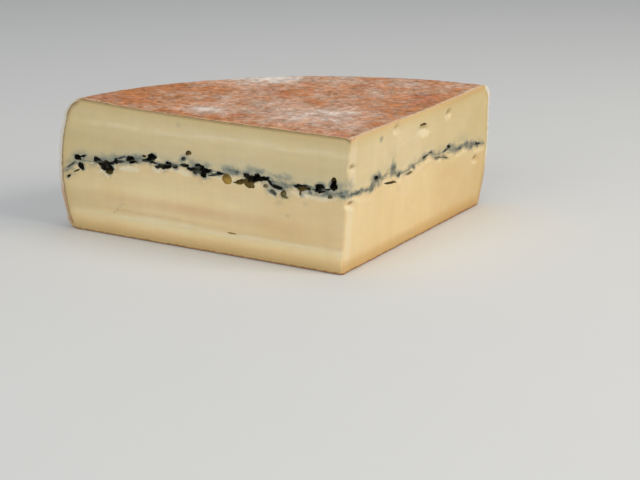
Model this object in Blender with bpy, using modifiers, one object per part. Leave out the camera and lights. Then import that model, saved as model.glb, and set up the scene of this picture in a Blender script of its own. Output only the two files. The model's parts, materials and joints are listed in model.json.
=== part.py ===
"""A quarter wheel of morbier: one body of paste and rind, and the ash layer that runs through it.

The point of the quarter faces -Y and the rind faces +Y. The base lies on Z = 0.
"""

from dataclasses import dataclass
from math import atan2, cos, degrees, pi, radians, sin

import bmesh
import bpy
import numpy as np
from mathutils import Matrix, Vector

MM = 0.001  # all sizes below are in millimetres

# The wheel that the quarter is cut from
WHEEL_RADIUS = 180.2  # at the widest part of its side
WIDEST_AT = 35.0  # height of the widest part
BASE_DRAW = 7.8  # how far the side draws in from there to the base
TOP_DRAW = 5.8  # and over the same height above it
RIM_HEIGHT = 73.9
MIDDLE_HEIGHT = 71.6  # the top is slightly dished
SHOULDER_RADIUS = 12.0
BASE_EDGE_RADIUS = 6.0
TOP_TILT = 0.006  # share of the height gained on the left and lost on the right
SAG_FROM, SAG_DEPTH = 50.0, 3.2  # above this height the left shoulder has sagged in and the right one out
SIDE_STEP = 4.2  # height between the profile's points on the side
TURN_STEPS = 88

# The two cuts, which meet at the point of the quarter
POINT = Vector((1.4, -89.6, 0.0))  # foot of the edge where the cuts meet
AXIS_FROM_POINT = Vector((-4.5, 0.0, 0.0))  # the cuts miss the wheel's middle a little
LEFT_CUT, RIGHT_CUT = 135.0, 45.0  # degrees from +X, seen from above
LEFT_LEAN, RIGHT_LEAN = -1.4, 2.55  # degrees, positive where a cut overhangs

# The ash layer
ASH_THICKNESS = 1.5
GAP = 0.3  # between the ash layer and the paste on either side
RIND_COVER = 5.3  # paste and rind that close over the layer's outer edge
SHEET_MARGIN = 14.0  # how far the sheet starts outside the point before it is trimmed
SHEET_ROUND, SHEET_ALONG = 14, 40  # faces round the quarter and out from its point
SWELL_DEPTH, SWELL_PITCH = 1.1, 47.0  # slow waves of the layer inside the quarter

# Height of the layer at each cut: distance from the point, height
LEFT_LINE = [
    (0, 42), (30, 43.5), (64, 45.5), (80, 43.2), (119, 45.8), (142, 43.5), (150, 40.5), (166, 40), (181, 32),
]
RIGHT_LINE = [
    (0, 41.8), (24, 41), (36, 44.3), (50, 45), (58, 41.3), (70, 40),
    (94, 46.2), (108, 42), (118, 44.3), (130, 42), (176, 37.5),
]

BODY_COLOUR = (0.62, 0.46, 0.25, 1.0)
ASH_COLOUR = (0.035, 0.040, 0.042, 1.0)


@dataclass(frozen=True)
class Hole:
    """A hole that opens on a cut: its place along the cut, its height and its sizes."""

    along: float
    height: float
    wide: float
    tall: float
    deep: float
    tilt: float = 0.0  # degrees, positive where the far end is higher


LEFT_HOLES = [
    Hole(8.5, 46.8, 4.5, 7.0, 5),
    Hole(15.5, 43.6, 5.4, 4.6, 4),
    Hole(25.0, 43.0, 10.5, 3.8, 5),
    Hole(37.2, 37.8, 4.6, 4.6, 4),
    Hole(43.0, 39.6, 7.0, 4.4, 4, 35),
    Hole(54.5, 43.6, 15.0, 5.4, 8),
    Hole(60.3, 40.2, 4.2, 5.4, 5),
    Hole(72.0, 41.5, 5.8, 5.8, 5),
    Hole(78.0, 43.7, 7.0, 2.6, 3, -12),
    Hole(87.5, 43.7, 11.5, 5.6, 8),
    Hole(97.5, 44.6, 9.5, 3.2, 5),
    Hole(105.5, 44.0, 3.6, 2.6, 3),
    Hole(112.5, 43.1, 9.4, 5.2, 7, 10),
    Hole(97.5, 53.2, 5.0, 3.6, 4),
    Hole(122.0, 46.4, 8.4, 5.0, 6),
    Hole(134.7, 43.8, 6.8, 4.4, 5),
    Hole(149.6, 37.6, 6.2, 6.2, 6),
    Hole(155.5, 40.4, 9.0, 3.8, 5, 15),
    Hole(169.5, 41.6, 7.0, 3.6, 4),
    Hole(168.5, 36.2, 6.0, 3.8, 4),
    Hole(178.0, 29.6, 3.0, 3.2, 3),
]
RIGHT_HOLES = [
    Hole(2.4, 56.6, 5.4, 3.6, 3),
    Hole(1.6, 37.6, 4.4, 3.4, 3),
    Hole(33.0, 44.2, 12.0, 3.8, 5),
    Hole(47.0, 38.4, 14.0, 2.6, 5, -10),
    Hole(49.0, 45.6, 6.4, 4.8, 5),
    Hole(55.6, 41.6, 5.0, 4.2, 4),
    Hole(87.5, 45.4, 7.0, 3.4, 4),
    Hole(118.0, 44.4, 6.4, 3.6, 5),
    Hole(33.0, 65.0, 3.0, 3.0, 2.5),
    Hole(49.0, 67.0, 4.8, 4.6, 3),
    Hole(83.0, 61.8, 12.0, 6.4, 4),
    Hole(116.0, 66.0, 4.2, 3.8, 3),
    Hole(156.0, 29.5, 5.6, 5.4, 4),
]


def clear_scene():
    """Remove every object of the scene that the script starts in."""
    for old in list(bpy.data.objects):
        bpy.data.objects.remove(old, do_unlink=True)


def new_collection(name):
    """A collection of that name, linked to the scene."""
    made = bpy.data.collections.new(name)
    bpy.context.scene.collection.children.link(made)
    return made


def material(name, colour, roughness):
    """A plain Principled material."""
    made = bpy.data.materials.new(name)
    made.use_nodes = True
    shader = made.node_tree.nodes["Principled BSDF"]
    shader.inputs["Base Color"].default_value = colour
    shader.inputs["Roughness"].default_value = roughness
    shader.inputs["Metallic"].default_value = 0.0
    return made


def object_from(bm, name, collection):
    """An object that takes over the bmesh."""
    mesh = bpy.data.meshes.new(name)
    bm.to_mesh(mesh)
    bm.free()
    made = bpy.data.objects.new(name, mesh)
    collection.objects.link(made)
    return made


def as_cutter(cutter):
    """Hide a cutter from the render and show it as wire."""
    cutter.hide_render = True
    cutter.display_type = "WIRE"
    return cutter


def cut(target, cutter):
    """Take one cutter away from the target."""
    boolean = target.modifiers.new("cut " + cutter.name, "BOOLEAN")
    boolean.operation = "DIFFERENCE"
    boolean.solver = "EXACT"
    boolean.object = cutter


def cut_all(target, cutters):
    """Take a whole collection of cutters away from the target, also where they cross each other."""
    boolean = target.modifiers.new("cut " + cutters.name, "BOOLEAN")
    boolean.operation = "DIFFERENCE"
    boolean.solver = "EXACT"
    boolean.operand_type = "COLLECTION"
    boolean.collection = cutters


def arc(centre, radius, start, end, steps):
    """Points of an arc from start to end, in degrees."""
    turns = [radians(start + (end - start) * i / steps) for i in range(steps + 1)]
    return [(centre[0] + radius * cos(t), centre[1] + radius * sin(t)) for t in turns]


def smooth_line(points, at):
    """The height of a line through the points, rounded off between them."""
    along = np.array([p[0] for p in points], float)
    height = np.array([p[1] for p in points], float)
    at = min(max(at, along[0]), along[-1])
    i = min(int(np.searchsorted(along, at, side="right")) - 1, len(along) - 2)
    share = (at - along[i]) / (along[i + 1] - along[i])
    share = share * share * (3 - 2 * share)
    return float(height[i] + (height[i + 1] - height[i]) * share)


def side_radius(height):
    """How far the side stands from the wheel's axis at a height."""
    draw = BASE_DRAW if height < WIDEST_AT else TOP_DRAW
    return WHEEL_RADIUS - draw * ((height - WIDEST_AT) / WIDEST_AT) ** 2


def wheel_profile():
    """The wheel's half section, from the middle of the top, down the side, to the middle of the base."""
    shoulder_at = RIM_HEIGHT - SHOULDER_RADIUS
    shoulder = (side_radius(shoulder_at) - SHOULDER_RADIUS, shoulder_at)
    base_edge = (side_radius(BASE_EDGE_RADIUS) - BASE_EDGE_RADIUS, BASE_EDGE_RADIUS)
    dish = RIM_HEIGHT - MIDDLE_HEIGHT
    profile = []
    for share in (0.0, 0.35, 0.55, 0.7, 0.82, 0.92):
        profile.append((shoulder[0] * share, MIDDLE_HEIGHT + dish * share**3))
    profile += arc(shoulder, SHOULDER_RADIUS, 90, 5, 6)
    steps = round((shoulder_at - BASE_EDGE_RADIUS) / SIDE_STEP)
    for i in range(1, steps):
        height = shoulder_at + (BASE_EDGE_RADIUS - shoulder_at) * i / steps
        profile.append((side_radius(height), height))
    profile += arc(base_edge, BASE_EDGE_RADIUS, 0, -90, 4)
    profile.append((0.0, 0.0))
    return profile


def settle(bm):
    """Let the height grow and the shoulder draw in towards the left, as on a wheel that settled unevenly."""
    for vert in bm.verts:
        share = vert.co.x / (WHEEL_RADIUS * MM)
        above = max(0.0, (vert.co.z / MM - SAG_FROM) / (RIM_HEIGHT - SAG_FROM))
        vert.co.xy *= 1 + SAG_DEPTH * above**2 * share / WHEEL_RADIUS
        vert.co.z *= 1 - TOP_TILT * share


def make_wheel(collection):
    """The whole wheel, as its profile turned round its axis."""
    bm = bmesh.new()
    verts = [bm.verts.new((r * MM, 0, z * MM)) for r, z in wheel_profile()]
    for first, second in zip(verts, verts[1:]):
        bm.edges.new((first, second))
    wheel = object_from(bm, "cheese_body", collection)
    turn = wheel.modifiers.new("turn", "SCREW")
    turn.steps = turn.render_steps = TURN_STEPS
    turn.use_merge_vertices = True
    turn.merge_threshold = 0.00005
    apply_modifiers(wheel)
    bm = bmesh.new()
    bm.from_mesh(wheel.data)
    settle(bm)
    bm.to_mesh(wheel.data)
    bm.free()
    wheel.location = (POINT + AXIS_FROM_POINT) * MM
    return wheel


def apply_modifiers(target):
    """Replace an object's mesh by the mesh that its modifiers make."""
    bpy.context.view_layer.update()
    seen = target.evaluated_get(bpy.context.evaluated_depsgraph_get())
    mesh = bpy.data.meshes.new_from_object(seen)
    target.modifiers.clear()
    target.data = mesh


def cut_frame(direction, lean, side):
    """A cut's own frame: X along it from the point, Y out of the cheese, Z up the leaning cut."""
    along = Vector((cos(radians(direction)), sin(radians(direction)), 0))
    outward = Vector((-along.y, along.x, 0)) * side
    up = Vector((0, 0, cos(radians(lean)))) + outward * sin(radians(lean))
    outward = outward * cos(radians(lean)) - Vector((0, 0, sin(radians(lean))))
    frame = Matrix((along, outward, up)).transposed().to_4x4()
    return Matrix.Translation(POINT * MM) @ frame


LEFT_FRAME = cut_frame(LEFT_CUT, LEFT_LEAN, 1)
RIGHT_FRAME = cut_frame(RIGHT_CUT, RIGHT_LEAN, -1)


def make_knife(name, frame, collection):
    """A block that fills everything beyond one cut."""
    reach = 3 * WHEEL_RADIUS
    bm = bmesh.new()
    bmesh.ops.create_cube(bm, size=reach * MM)
    bmesh.ops.translate(bm, verts=bm.verts, vec=(0, reach / 2 * MM, 0))
    knife = object_from(bm, name, collection)
    knife.matrix_world = frame
    return as_cutter(knife)


def layer_height(x, y):
    """Height of the ash layer's middle over a place given from the point, in mm."""
    turn = degrees(atan2(y, x))
    share = min(max((LEFT_CUT - turn) / (LEFT_CUT - RIGHT_CUT), 0.0), 1.0)
    out = (x * x + y * y) ** 0.5
    blend = share * share * (3 - 2 * share)
    height = smooth_line(LEFT_LINE, out) * (1 - blend) + smooth_line(RIGHT_LINE, out) * blend
    inside = sin(pi * share)
    swell = sin(2 * pi * x / SWELL_PITCH) * sin(2 * pi * y / SWELL_PITCH)
    return height + SWELL_DEPTH * inside * swell


def make_sheet(name, thickness, cover, collection):
    """A wavy sheet along the ash layer, from outside the point to the cover that it leaves at the rind."""
    bm = bmesh.new()
    bmesh.ops.create_grid(bm, x_segments=SHEET_ROUND, y_segments=SHEET_ALONG, size=0.5)
    rim = WHEEL_RADIUS - cover
    pole = Vector((0, -SHEET_MARGIN))
    axis = AXIS_FROM_POINT.xy
    for vert in bm.verts:
        turn = radians(RIGHT_CUT + (LEFT_CUT - RIGHT_CUT) * (vert.co.x + 0.5))
        ray = Vector((cos(turn), sin(turn)))
        to_axis = (axis - pole).dot(ray)
        reach = to_axis + (rim**2 - (axis - pole).length_squared + to_axis**2) ** 0.5
        first = 2.0  # a narrow start, so that the faces at the pole aren't slivers
        place = pole + ray * (first + (reach - first) * (vert.co.y + 0.5))
        vert.co = Vector((place.x, place.y, layer_height(place.x, place.y))) * MM
    sheet = object_from(bm, name, collection)
    sheet.location = POINT * MM
    solid = sheet.modifiers.new("thickness", "SOLIDIFY")
    solid.thickness = thickness * MM
    solid.offset = 0.0
    apply_modifiers(sheet)
    bm = bmesh.new()
    bm.from_mesh(sheet.data)
    bmesh.ops.triangulate(bm, faces=bm.faces)
    bmesh.ops.recalc_face_normals(bm, faces=bm.faces)
    bm.to_mesh(sheet.data)
    bm.free()
    return sheet


def make_hole(name, hole, frame, collection):
    """A rounded cutter that opens on a cut, a quarter of its depth behind the cut's surface."""
    bm = bmesh.new()
    large = max(hole.wide, hole.tall) > 7
    bmesh.ops.create_icosphere(bm, subdivisions=3 if large else 2, radius=1.0)
    size = Matrix.Diagonal((hole.wide / 2, hole.deep * 0.8, hole.tall / 2, 1)) * MM
    size[3][3] = 1
    turn = Matrix.Rotation(radians(-hole.tilt), 4, "Y")
    place = Matrix.Translation(Vector((hole.along, -hole.deep * 0.2, hole.height)) * MM)
    bm.transform(place @ turn @ size)
    cutter = object_from(bm, name, collection)
    cutter.matrix_world = frame
    return as_cutter(cutter)


def main():
    """Build the two pieces and their cutters."""
    clear_scene()
    cheese = new_collection("morbier_quarter")
    knives = new_collection("knives")
    holes = new_collection("holes")
    left_knife = make_knife("left knife", LEFT_FRAME, knives)
    right_knife = make_knife("right knife", RIGHT_FRAME, knives)
    slot = as_cutter(make_sheet("ash slot", ASH_THICKNESS + 2 * GAP, RIND_COVER, knives))
    for i, hole in enumerate(LEFT_HOLES):
        make_hole(f"left hole {i}", hole, LEFT_FRAME, holes)
    for i, hole in enumerate(RIGHT_HOLES):
        make_hole(f"right hole {i}", hole, RIGHT_FRAME, holes)

    body = make_wheel(cheese)
    cut(body, left_knife)
    cut(body, right_knife)
    cut(body, slot)
    cut_all(body, holes)
    body.data.materials.append(material("paste and rind", BODY_COLOUR, 0.55))

    ash = make_sheet("ash_layer", ASH_THICKNESS, RIND_COVER + GAP, cheese)
    cut(ash, left_knife)
    cut(ash, right_knife)
    cut_all(ash, holes)
    ash.data.materials.append(material("ash", ASH_COLOUR, 0.9))

    for piece in (body, ash):
        piece.data.shade_smooth()
        piece.data.set_sharp_from_angle(angle=radians(35))


main()
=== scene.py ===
"""The looks of a quarter wheel of morbier: paste and rind as one body, the ash layer, and a pale studio.

Sizes are in millimetres until a mesh is made, which turns them into metres. The point of the quarter
faces -Y, its rind faces +Y, and its base lies on Z = 0.
"""

import json
import logging
from dataclasses import dataclass, field
from enum import Enum
from math import cos, pi, radians, sin, tan

import bmesh
import bpy
import numpy as np
from mathutils import Matrix, Vector, noise

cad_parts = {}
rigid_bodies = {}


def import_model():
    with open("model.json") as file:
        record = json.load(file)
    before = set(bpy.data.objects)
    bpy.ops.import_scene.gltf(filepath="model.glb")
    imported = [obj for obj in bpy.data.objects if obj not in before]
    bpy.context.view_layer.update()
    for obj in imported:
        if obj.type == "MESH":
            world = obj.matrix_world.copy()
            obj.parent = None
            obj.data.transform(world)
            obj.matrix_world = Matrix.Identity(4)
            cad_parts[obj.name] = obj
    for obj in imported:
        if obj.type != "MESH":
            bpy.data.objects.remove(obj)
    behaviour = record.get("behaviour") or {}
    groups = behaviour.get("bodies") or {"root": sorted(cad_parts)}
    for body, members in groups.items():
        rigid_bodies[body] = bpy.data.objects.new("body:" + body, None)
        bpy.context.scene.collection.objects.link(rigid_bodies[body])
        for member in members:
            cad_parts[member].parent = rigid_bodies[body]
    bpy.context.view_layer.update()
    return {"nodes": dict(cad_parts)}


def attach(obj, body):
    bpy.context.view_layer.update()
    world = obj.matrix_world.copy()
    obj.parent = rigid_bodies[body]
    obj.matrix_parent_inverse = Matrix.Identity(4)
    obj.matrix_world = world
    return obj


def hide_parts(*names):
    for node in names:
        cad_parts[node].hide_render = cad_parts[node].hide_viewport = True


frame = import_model()

LOG = logging.getLogger("morbier")
MM = 0.001
RIND, PASTE, HOLLOW = range(3)  # the cheese body's material slots
Colour = tuple[float, float, float]


class Tone(Enum):
    """What lines a hollow, as the colour of its wall: ash for black, soot and grey, and paste darkened with
    painted shade for brown, olive and gold.
    """

    BLACK = (0.016, 0.015, 0.010)
    SOOT = (0.055, 0.052, 0.034)
    GREY = (0.190, 0.195, 0.150)
    # brown, olive and gold: paste inside a hollow, darkened with painted shade
    BROWN = (0.240, 0.165, 0.042)
    OLIVE = (0.310, 0.250, 0.110)
    GOLD = (0.560, 0.370, 0.075)
    CLEAN = (0.800, 0.610, 0.330)


@dataclass(frozen=True)
class Lobe:
    """A rounded part of a hole that opens on a cut."""

    along: float  # distance from the quarter's point
    height: float
    wide: float
    tall: float
    deep: float
    tilt: float = 0.0  # degrees, positive where the far end is higher
    tone: Tone = Tone.BLACK

    @property
    def sunk(self) -> float:
        """How far its middle lies under the cut."""
        return self.deep * 0.2

    @property
    def half_deep(self) -> float:
        """Half its size into the cheese."""
        return self.deep * 0.8


@dataclass(frozen=True)
class Stain:
    """A soft patch of ash colour on a cut."""

    along: float
    height: float
    wide: float
    tall: float
    tilt: float
    strength: float


@dataclass(frozen=True)
class Patch:
    """A patch of bloom or blush on the top: its place from the point, to the right and away."""

    right: float
    away: float
    wide: float
    long: float
    strength: float


def turned(shape: Lobe | Stain, along: np.ndarray, height: np.ndarray) -> tuple[np.ndarray, np.ndarray]:
    """Distances from the middle of a tilted shape on a cut.

    Args:
        shape: the lobe or stain.
        along: distances from the point.
        height: heights up the cut.

    Returns:
        The distances along the shape's width and along its height.
    """
    turn = radians(shape.tilt)
    x, z = along - shape.along, height - shape.height
    return x * cos(turn) + z * sin(turn), z * cos(turn) - x * sin(turn)


def noise_at(points: np.ndarray, size: float, seed: float) -> np.ndarray:
    """Smooth noise from about -1 to 1.

    Args:
        points: places in millimetres, one row each.
        size: how far apart the noise's bumps are.
        seed: shifts the pattern, so that two of them differ.

    Returns:
        One value for each point.
    """
    shift = Vector((seed * 7.31, seed * -3.17, seed * 5.73))
    return np.array([noise.noise(Vector(p) / size + shift) for p in points])


def smooth_step(values: np.ndarray, low: float, high: float) -> np.ndarray:
    """A soft change from 0 at low to 1 at high.

    Args:
        values: the numbers to change.
        low: where the change starts.
        high: where it ends, which may be below low.

    Returns:
        One share for each value.
    """
    share = np.clip((values - low) / (high - low), 0.0, 1.0)
    return share * share * (3.0 - 2.0 * share)


def smooth_line(points: tuple, at: np.ndarray) -> np.ndarray:
    """The height of a line through the points, rounded off between them.

    Args:
        points: pairs of distance and height.
        at: the distances to read the line at.

    Returns:
        One height for each distance.
    """
    along, height = np.array(points, float).T
    at = np.clip(at, along[0], along[-1])
    i = np.clip(np.searchsorted(along, at, side="right") - 1, 0, len(along) - 2)
    share = smooth_step(at, along[i], along[i + 1])
    return height[i] + (height[i + 1] - height[i]) * share


class Draft:
    """The vertices and faces of a mesh in the making."""

    def __init__(self) -> None:
        """Start with nothing."""
        self.points: list = []
        self.faces: list = []

    def row(self, points: np.ndarray) -> list[int]:
        """Add a row of points and return their numbers."""
        start = len(self.points)
        self.points.extend(points)
        return list(range(start, len(self.points)))

    def stitch(self, first: list[int], second: list[int], closed: bool = False) -> None:
        """Join two rows, of which the second has as many spans as the first or twice as many.

        Args:
            first: the numbers of one row's points.
            second: the numbers of the next row's points.
            closed: whether the rows are rings.
        """
        if closed:
            first, second = first + first[:1], second + second[:1]
        double = len(second) > len(first)
        for i in range(len(first) - 1):
            a, b = first[i], first[i + 1]
            if double:
                c, d, e = second[2 * i : 2 * i + 3]
                self.faces += [(a, c, d), (a, d, b), (b, d, e)]
            else:
                self.faces.append((a, second[i], second[i + 1], b))

    def fan(self, loop: list[int], centre: np.ndarray) -> None:
        """Close a loop with triangles that meet at a new point in its middle."""
        middle = self.row([centre])[0]
        for a, b in zip(loop, loop[1:] + loop[:1]):
            self.faces.append((a, b, middle))

    def to_object(self, name: str, slot: int = 0) -> bpy.types.Object:
        """Make a closed mesh object with every face in one material slot.

        Args:
            name: the object's name.
            slot: the material slot's number.

        Returns:
            The object, with its faces pointing out.
        """
        mesh = bpy.data.meshes.new(name)
        mesh.from_pydata([Vector(p) * MM for p in self.points], [], self.faces)
        bm = bmesh.new()
        bm.from_mesh(mesh)
        bmesh.ops.recalc_face_normals(bm, faces=bm.faces)
        for face in bm.faces:
            face.material_index = slot
        bm.to_mesh(mesh)
        bm.free()
        made = bpy.data.objects.new(name, mesh)
        bpy.context.scene.collection.objects.link(made)
        return made


@dataclass(frozen=True)
class Wheel:
    """The flat wheel that the quarter is cut from."""

    axis: tuple[float, float]
    radius: float = 180.2  # at the widest part of its side
    widest_at: float = 35.0
    base_draw: float = 7.8  # how far the side draws in from there to the base
    top_draw: float = 5.8
    rim_height: float = 74.8
    middle_height: float = 72.0  # the top is slightly dished
    shoulder: float = 12.5
    base_edge: float = 6.0
    top_tilt: float = 0.006  # share of the height gained on the left and lost on the right
    sag_from: float = 50.0
    sag_depth: float = 3.4  # the left shoulder has sagged in by this much and the right one out
    droop: float = 2.6  # and the left shoulder has sunk

    @property
    def shoulder_at(self) -> float:
        """The height where the side goes over into the shoulder."""
        return self.rim_height - self.shoulder

    @property
    def crown_radius(self) -> float:
        """How far out the top goes over into the shoulder."""
        return float(self.side_radius(self.shoulder_at)) - self.shoulder

    @property
    def foot_radius(self) -> float:
        """How far out the base goes over into its rounded edge."""
        return float(self.side_radius(self.base_edge)) - self.base_edge

    def side_radius(self, height: np.ndarray | float) -> np.ndarray:
        """How far the side stands from the axis at a height."""
        draw = np.where(np.asarray(height) < self.widest_at, self.base_draw, self.top_draw)
        return self.radius - draw * ((height - self.widest_at) / self.widest_at) ** 2

    def top_height(self, out: np.ndarray) -> np.ndarray:
        """The height of the dished top at a distance from the axis."""
        return self.middle_height + (self.rim_height - self.middle_height) * (out / self.crown_radius) ** 3

    def rim_section(self, step: float) -> tuple[np.ndarray, np.ndarray]:
        """The section of the rim, from the edge of the top to the edge of the base.

        Args:
            step: the distance between its points.

        Returns:
            The points as distance from the axis and height, and the outward directions there.
        """
        turns = np.linspace(pi / 2, 0, round(self.shoulder * pi / 2 / step) + 1)
        shoulder = np.stack([self.crown_radius + self.shoulder * np.cos(turns),
                             self.shoulder_at + self.shoulder * np.sin(turns)], 1)
        heights = np.linspace(self.shoulder_at, self.base_edge,
                              round((self.shoulder_at - self.base_edge) / step) + 1)[1:-1]
        side = np.stack([self.side_radius(heights), heights], 1)
        turns = np.linspace(0, -pi / 2, round(self.base_edge * pi / 2 / step) + 1)
        foot = np.stack([self.foot_radius + self.base_edge * np.cos(turns),
                         self.base_edge + self.base_edge * np.sin(turns)], 1)
        points = np.concatenate([shoulder, side, foot])
        run = np.gradient(points, axis=0)
        outward = np.stack([-run[:, 1], run[:, 0]], 1)
        return points, outward / np.linalg.norm(outward, axis=1)[:, None]

    def settle(self, points: np.ndarray, back: bool = False) -> np.ndarray:
        """Move points as the wheel did when it settled unevenly, or back again.

        Args:
            points: places in millimetres.
            back: whether to undo the move.

        Returns:
            The moved points.
        """
        way = -1 if back else 1
        moved = np.array(points, float)
        centre = np.array(self.axis)
        share = (moved[:, 0] - centre[0]) / self.radius
        above = np.clip((moved[:, 2] - self.sag_from) / (self.rim_height - self.sag_from), 0, None)
        rim = np.clip((np.hypot(*(moved[:, :2] - centre).T) / self.radius - 0.90) / 0.09, 0, 1)
        moved[:, 2] -= way * self.droop * rim**2 * above * np.clip(-share, 0, 1)
        grow = 1 + self.sag_depth * above**2 * share / self.radius
        moved[:, :2] = centre + (moved[:, :2] - centre) * (grow**way)[:, None]
        moved[:, 2] *= (1 - self.top_tilt * share) ** way
        return moved

    def skin_depth(self, points: np.ndarray) -> np.ndarray:
        """How far points lie under the nearest part of the skin: the top, the side or the base."""
        flat = self.settle(points, back=True)
        out = np.hypot(flat[:, 0] - self.axis[0], flat[:, 1] - self.axis[1])
        place = np.stack([out, flat[:, 2]], 1)
        rim = self.rim_section(2.0)[0]
        crown = np.linspace(0, self.crown_radius, 12)[:-1]
        top = np.stack([crown, self.top_height(crown)], 1)
        line = np.concatenate([top, rim, [[0.0, 0.0]]])
        nearest = np.full(len(place), np.inf)
        for a, b in zip(line, line[1:]):
            run = b - a
            share = np.clip((place - a) @ run / (run @ run), 0, 1)
            gap = np.linalg.norm(place - a - share[:, None] * run, axis=1)
            nearest = np.minimum(nearest, gap)
        return nearest


@dataclass(frozen=True)
class Cut:
    """One of the two cuts that meet at the point, with what shows on it."""

    name: str
    foot: tuple[float, float]  # where the cuts meet on the base
    direction: float  # degrees from +X, seen from above
    lean: float  # degrees, positive where the cut overhangs
    side: int  # 1 where the cheese lies on the right of the cut's direction, else -1
    corner_lean: float  # the other cut's lean, which carries the corner along
    line: tuple  # the ash layer: distance from the point, height
    lobes: tuple[Lobe, ...]
    stains: tuple[Stain, ...]
    seed: int
    haze: float = 0.76  # how much ash has drifted into the paste along the line
    film: float = 0.95  # how dark the line itself is
    film_half: float = 1.8
    crumbs: float = 0.9  # how pale and crumbly the paste is just below it
    waviness: float = 0.24
    scratch: float = 0.08
    crumble: float = 0.50  # how rough the cut is beside the ash
    corner: float = 1.7  # the radius of the rounded corner where the cuts meet, which sharpens at the top
    edge: float = 2.4  # how far from the skin the cut starts to fall away
    fall: float = 0.55

    @property
    def axes(self) -> np.ndarray:
        """The cut's own directions as rows: along it, out of the cheese, and up it."""
        turn, lean = radians(self.direction), radians(self.lean)
        along = np.array([cos(turn), sin(turn), 0.0])
        level = np.array([-along[1], along[0], 0.0]) * self.side
        rise = np.array([0.0, 0.0, 1.0])
        return np.stack([along, level * cos(lean) - rise * sin(lean), rise * cos(lean) + level * sin(lean)])

    def to_world(self, local: np.ndarray) -> np.ndarray:
        """Places in the model's frame, from places along, out of and up the cut."""
        return np.array([*self.foot, 0.0]) + local @ self.axes

    def to_local(self, points: np.ndarray) -> np.ndarray:
        """Places along, out of and up the cut, from places in the model's frame."""
        return (points - np.array([*self.foot, 0.0])) @ self.axes.T

    def rounding(self, along: np.ndarray, height: np.ndarray) -> np.ndarray:
        """How far the cut falls away at the rounded corner that it shares with the other cut."""
        radius = self.corner * (0.28 + 0.72 * smooth_step(height, 72.0, 58.0))
        from_corner = along + height * tan(radians(self.corner_lean))
        turn = radius * (1 - 0.5**0.5)
        inner = radius - np.clip(from_corner, turn, radius)
        arc = radius - np.sqrt(np.clip(radius**2 - inner**2, 0, None))
        return arc + np.clip(turn - from_corner, 0, None)

    def dents(self, along: np.ndarray, height: np.ndarray) -> np.ndarray:
        """How deep the soft dents of the clean eyes are."""
        total = np.zeros_like(along)
        for lobe in self.lobes:
            if lobe.tone is Tone.CLEAN:
                across, up = turned(lobe, along, height)
                u, w = across / (lobe.wide / 2), up / (lobe.tall / 2)
                total += lobe.deep * np.exp(-((u * u + w * w) ** 1.5))
        return total

    def relief(self, along: np.ndarray, height: np.ndarray, wheel: Wheel) -> np.ndarray:
        """How far the cut's surface stands out, from the knife's marks, its edges and the crumbly ash line.

        Args:
            along: distances from the point.
            height: heights up the cut.
            wheel: the wheel that is cut.

        Returns:
            One distance out of the cheese for each place.
        """
        flat = np.stack([along, height, np.full_like(along, float(self.seed))], 1)
        slow = noise_at(flat / (2.0, 1.0, 1.0), 26.0, self.seed)
        streaks = noise_at(flat / (7.0, 1.0, 1.0), 1.7, self.seed + 2)
        crumbs = noise_at(flat, 3.4, self.seed + 4) + 0.6 * noise_at(flat, 1.6, self.seed + 5)
        near = np.exp(-(((height - smooth_line(self.line, along)) / 5.5) ** 2))
        top = wheel.top_height(np.clip(along, 0, wheel.crown_radius))
        below = np.minimum(np.minimum(top - height, wheel.side_radius(height) - along), height + 0.9)
        share = np.clip((self.edge - below) / self.edge, 0, 1.5)
        torn = 0.40 * noise_at(flat, 5.0, self.seed + 6) + 0.25 * noise_at(flat, 2.2, self.seed + 7)
        ragged = share * (self.fall * share + torn)
        marks = self.waviness * slow + self.scratch * streaks + self.crumble * crumbs * near
        return marks - ragged - self.rounding(along, height) - self.dents(along, height)


@dataclass(frozen=True)
class AshLine:
    """The run of the ash layer through the quarter, between its lines on the two cuts."""

    foot: tuple[float, float]
    left: Cut
    right: Cut
    swell_depth: float = 1.1
    swell_pitch: float = 47.0
    tremble: float = 0.35  # fine unevenness of its height
    thin: float = 0.40
    thick: float = 2.0

    def height(self, places: np.ndarray) -> np.ndarray:
        """The height of the layer's middle at places in the model's frame."""
        x, y = places[:, 0] - self.foot[0], places[:, 1] - self.foot[1]
        turn = np.degrees(np.arctan2(y, x))
        share = np.clip((self.left.direction - turn) / (self.left.direction - self.right.direction), 0, 1)
        out = np.hypot(x, y)
        blend = smooth_step(share, 0.0, 1.0)
        level = smooth_line(self.left.line, out) * (1 - blend) + smooth_line(self.right.line, out) * blend
        swell = np.sin(2 * pi * x / self.swell_pitch) * np.sin(2 * pi * y / self.swell_pitch)
        flat = np.stack([x, y, np.zeros_like(x)], 1)
        return level + self.swell_depth * np.sin(pi * share) * swell + self.tremble * noise_at(flat, 7.0, 3)

    def thickness(self, places: np.ndarray) -> np.ndarray:
        """The thickness of the layer, which thins out to a film and swells between the curds."""
        flat = np.array(places) * (1, 1, 0)
        share = smooth_step(noise_at(flat, 11.0, 8) + 0.5 * noise_at(flat, 4.0, 9), -0.25, 0.65)
        return self.thin + (self.thick - self.thin) * share


def carve(target: bpy.types.Object, cutter: bpy.types.Object | bpy.types.Collection) -> None:
    """Take a closed mesh, or a collection of them, away from the target for good.

    Args:
        target: the object that is cut.
        cutter: what is taken away.
    """
    boolean = target.modifiers.new("carve", "BOOLEAN")
    boolean.operation = "DIFFERENCE"
    boolean.solver = "MANIFOLD"
    if isinstance(cutter, bpy.types.Collection):
        boolean.operand_type = "COLLECTION"
        boolean.collection = cutter
    else:
        boolean.object = cutter
    bpy.context.view_layer.update()
    seen = target.evaluated_get(bpy.context.evaluated_depsgraph_get())
    mesh = bpy.data.meshes.new_from_object(seen)
    target.modifiers.clear()
    target.data = mesh


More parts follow.
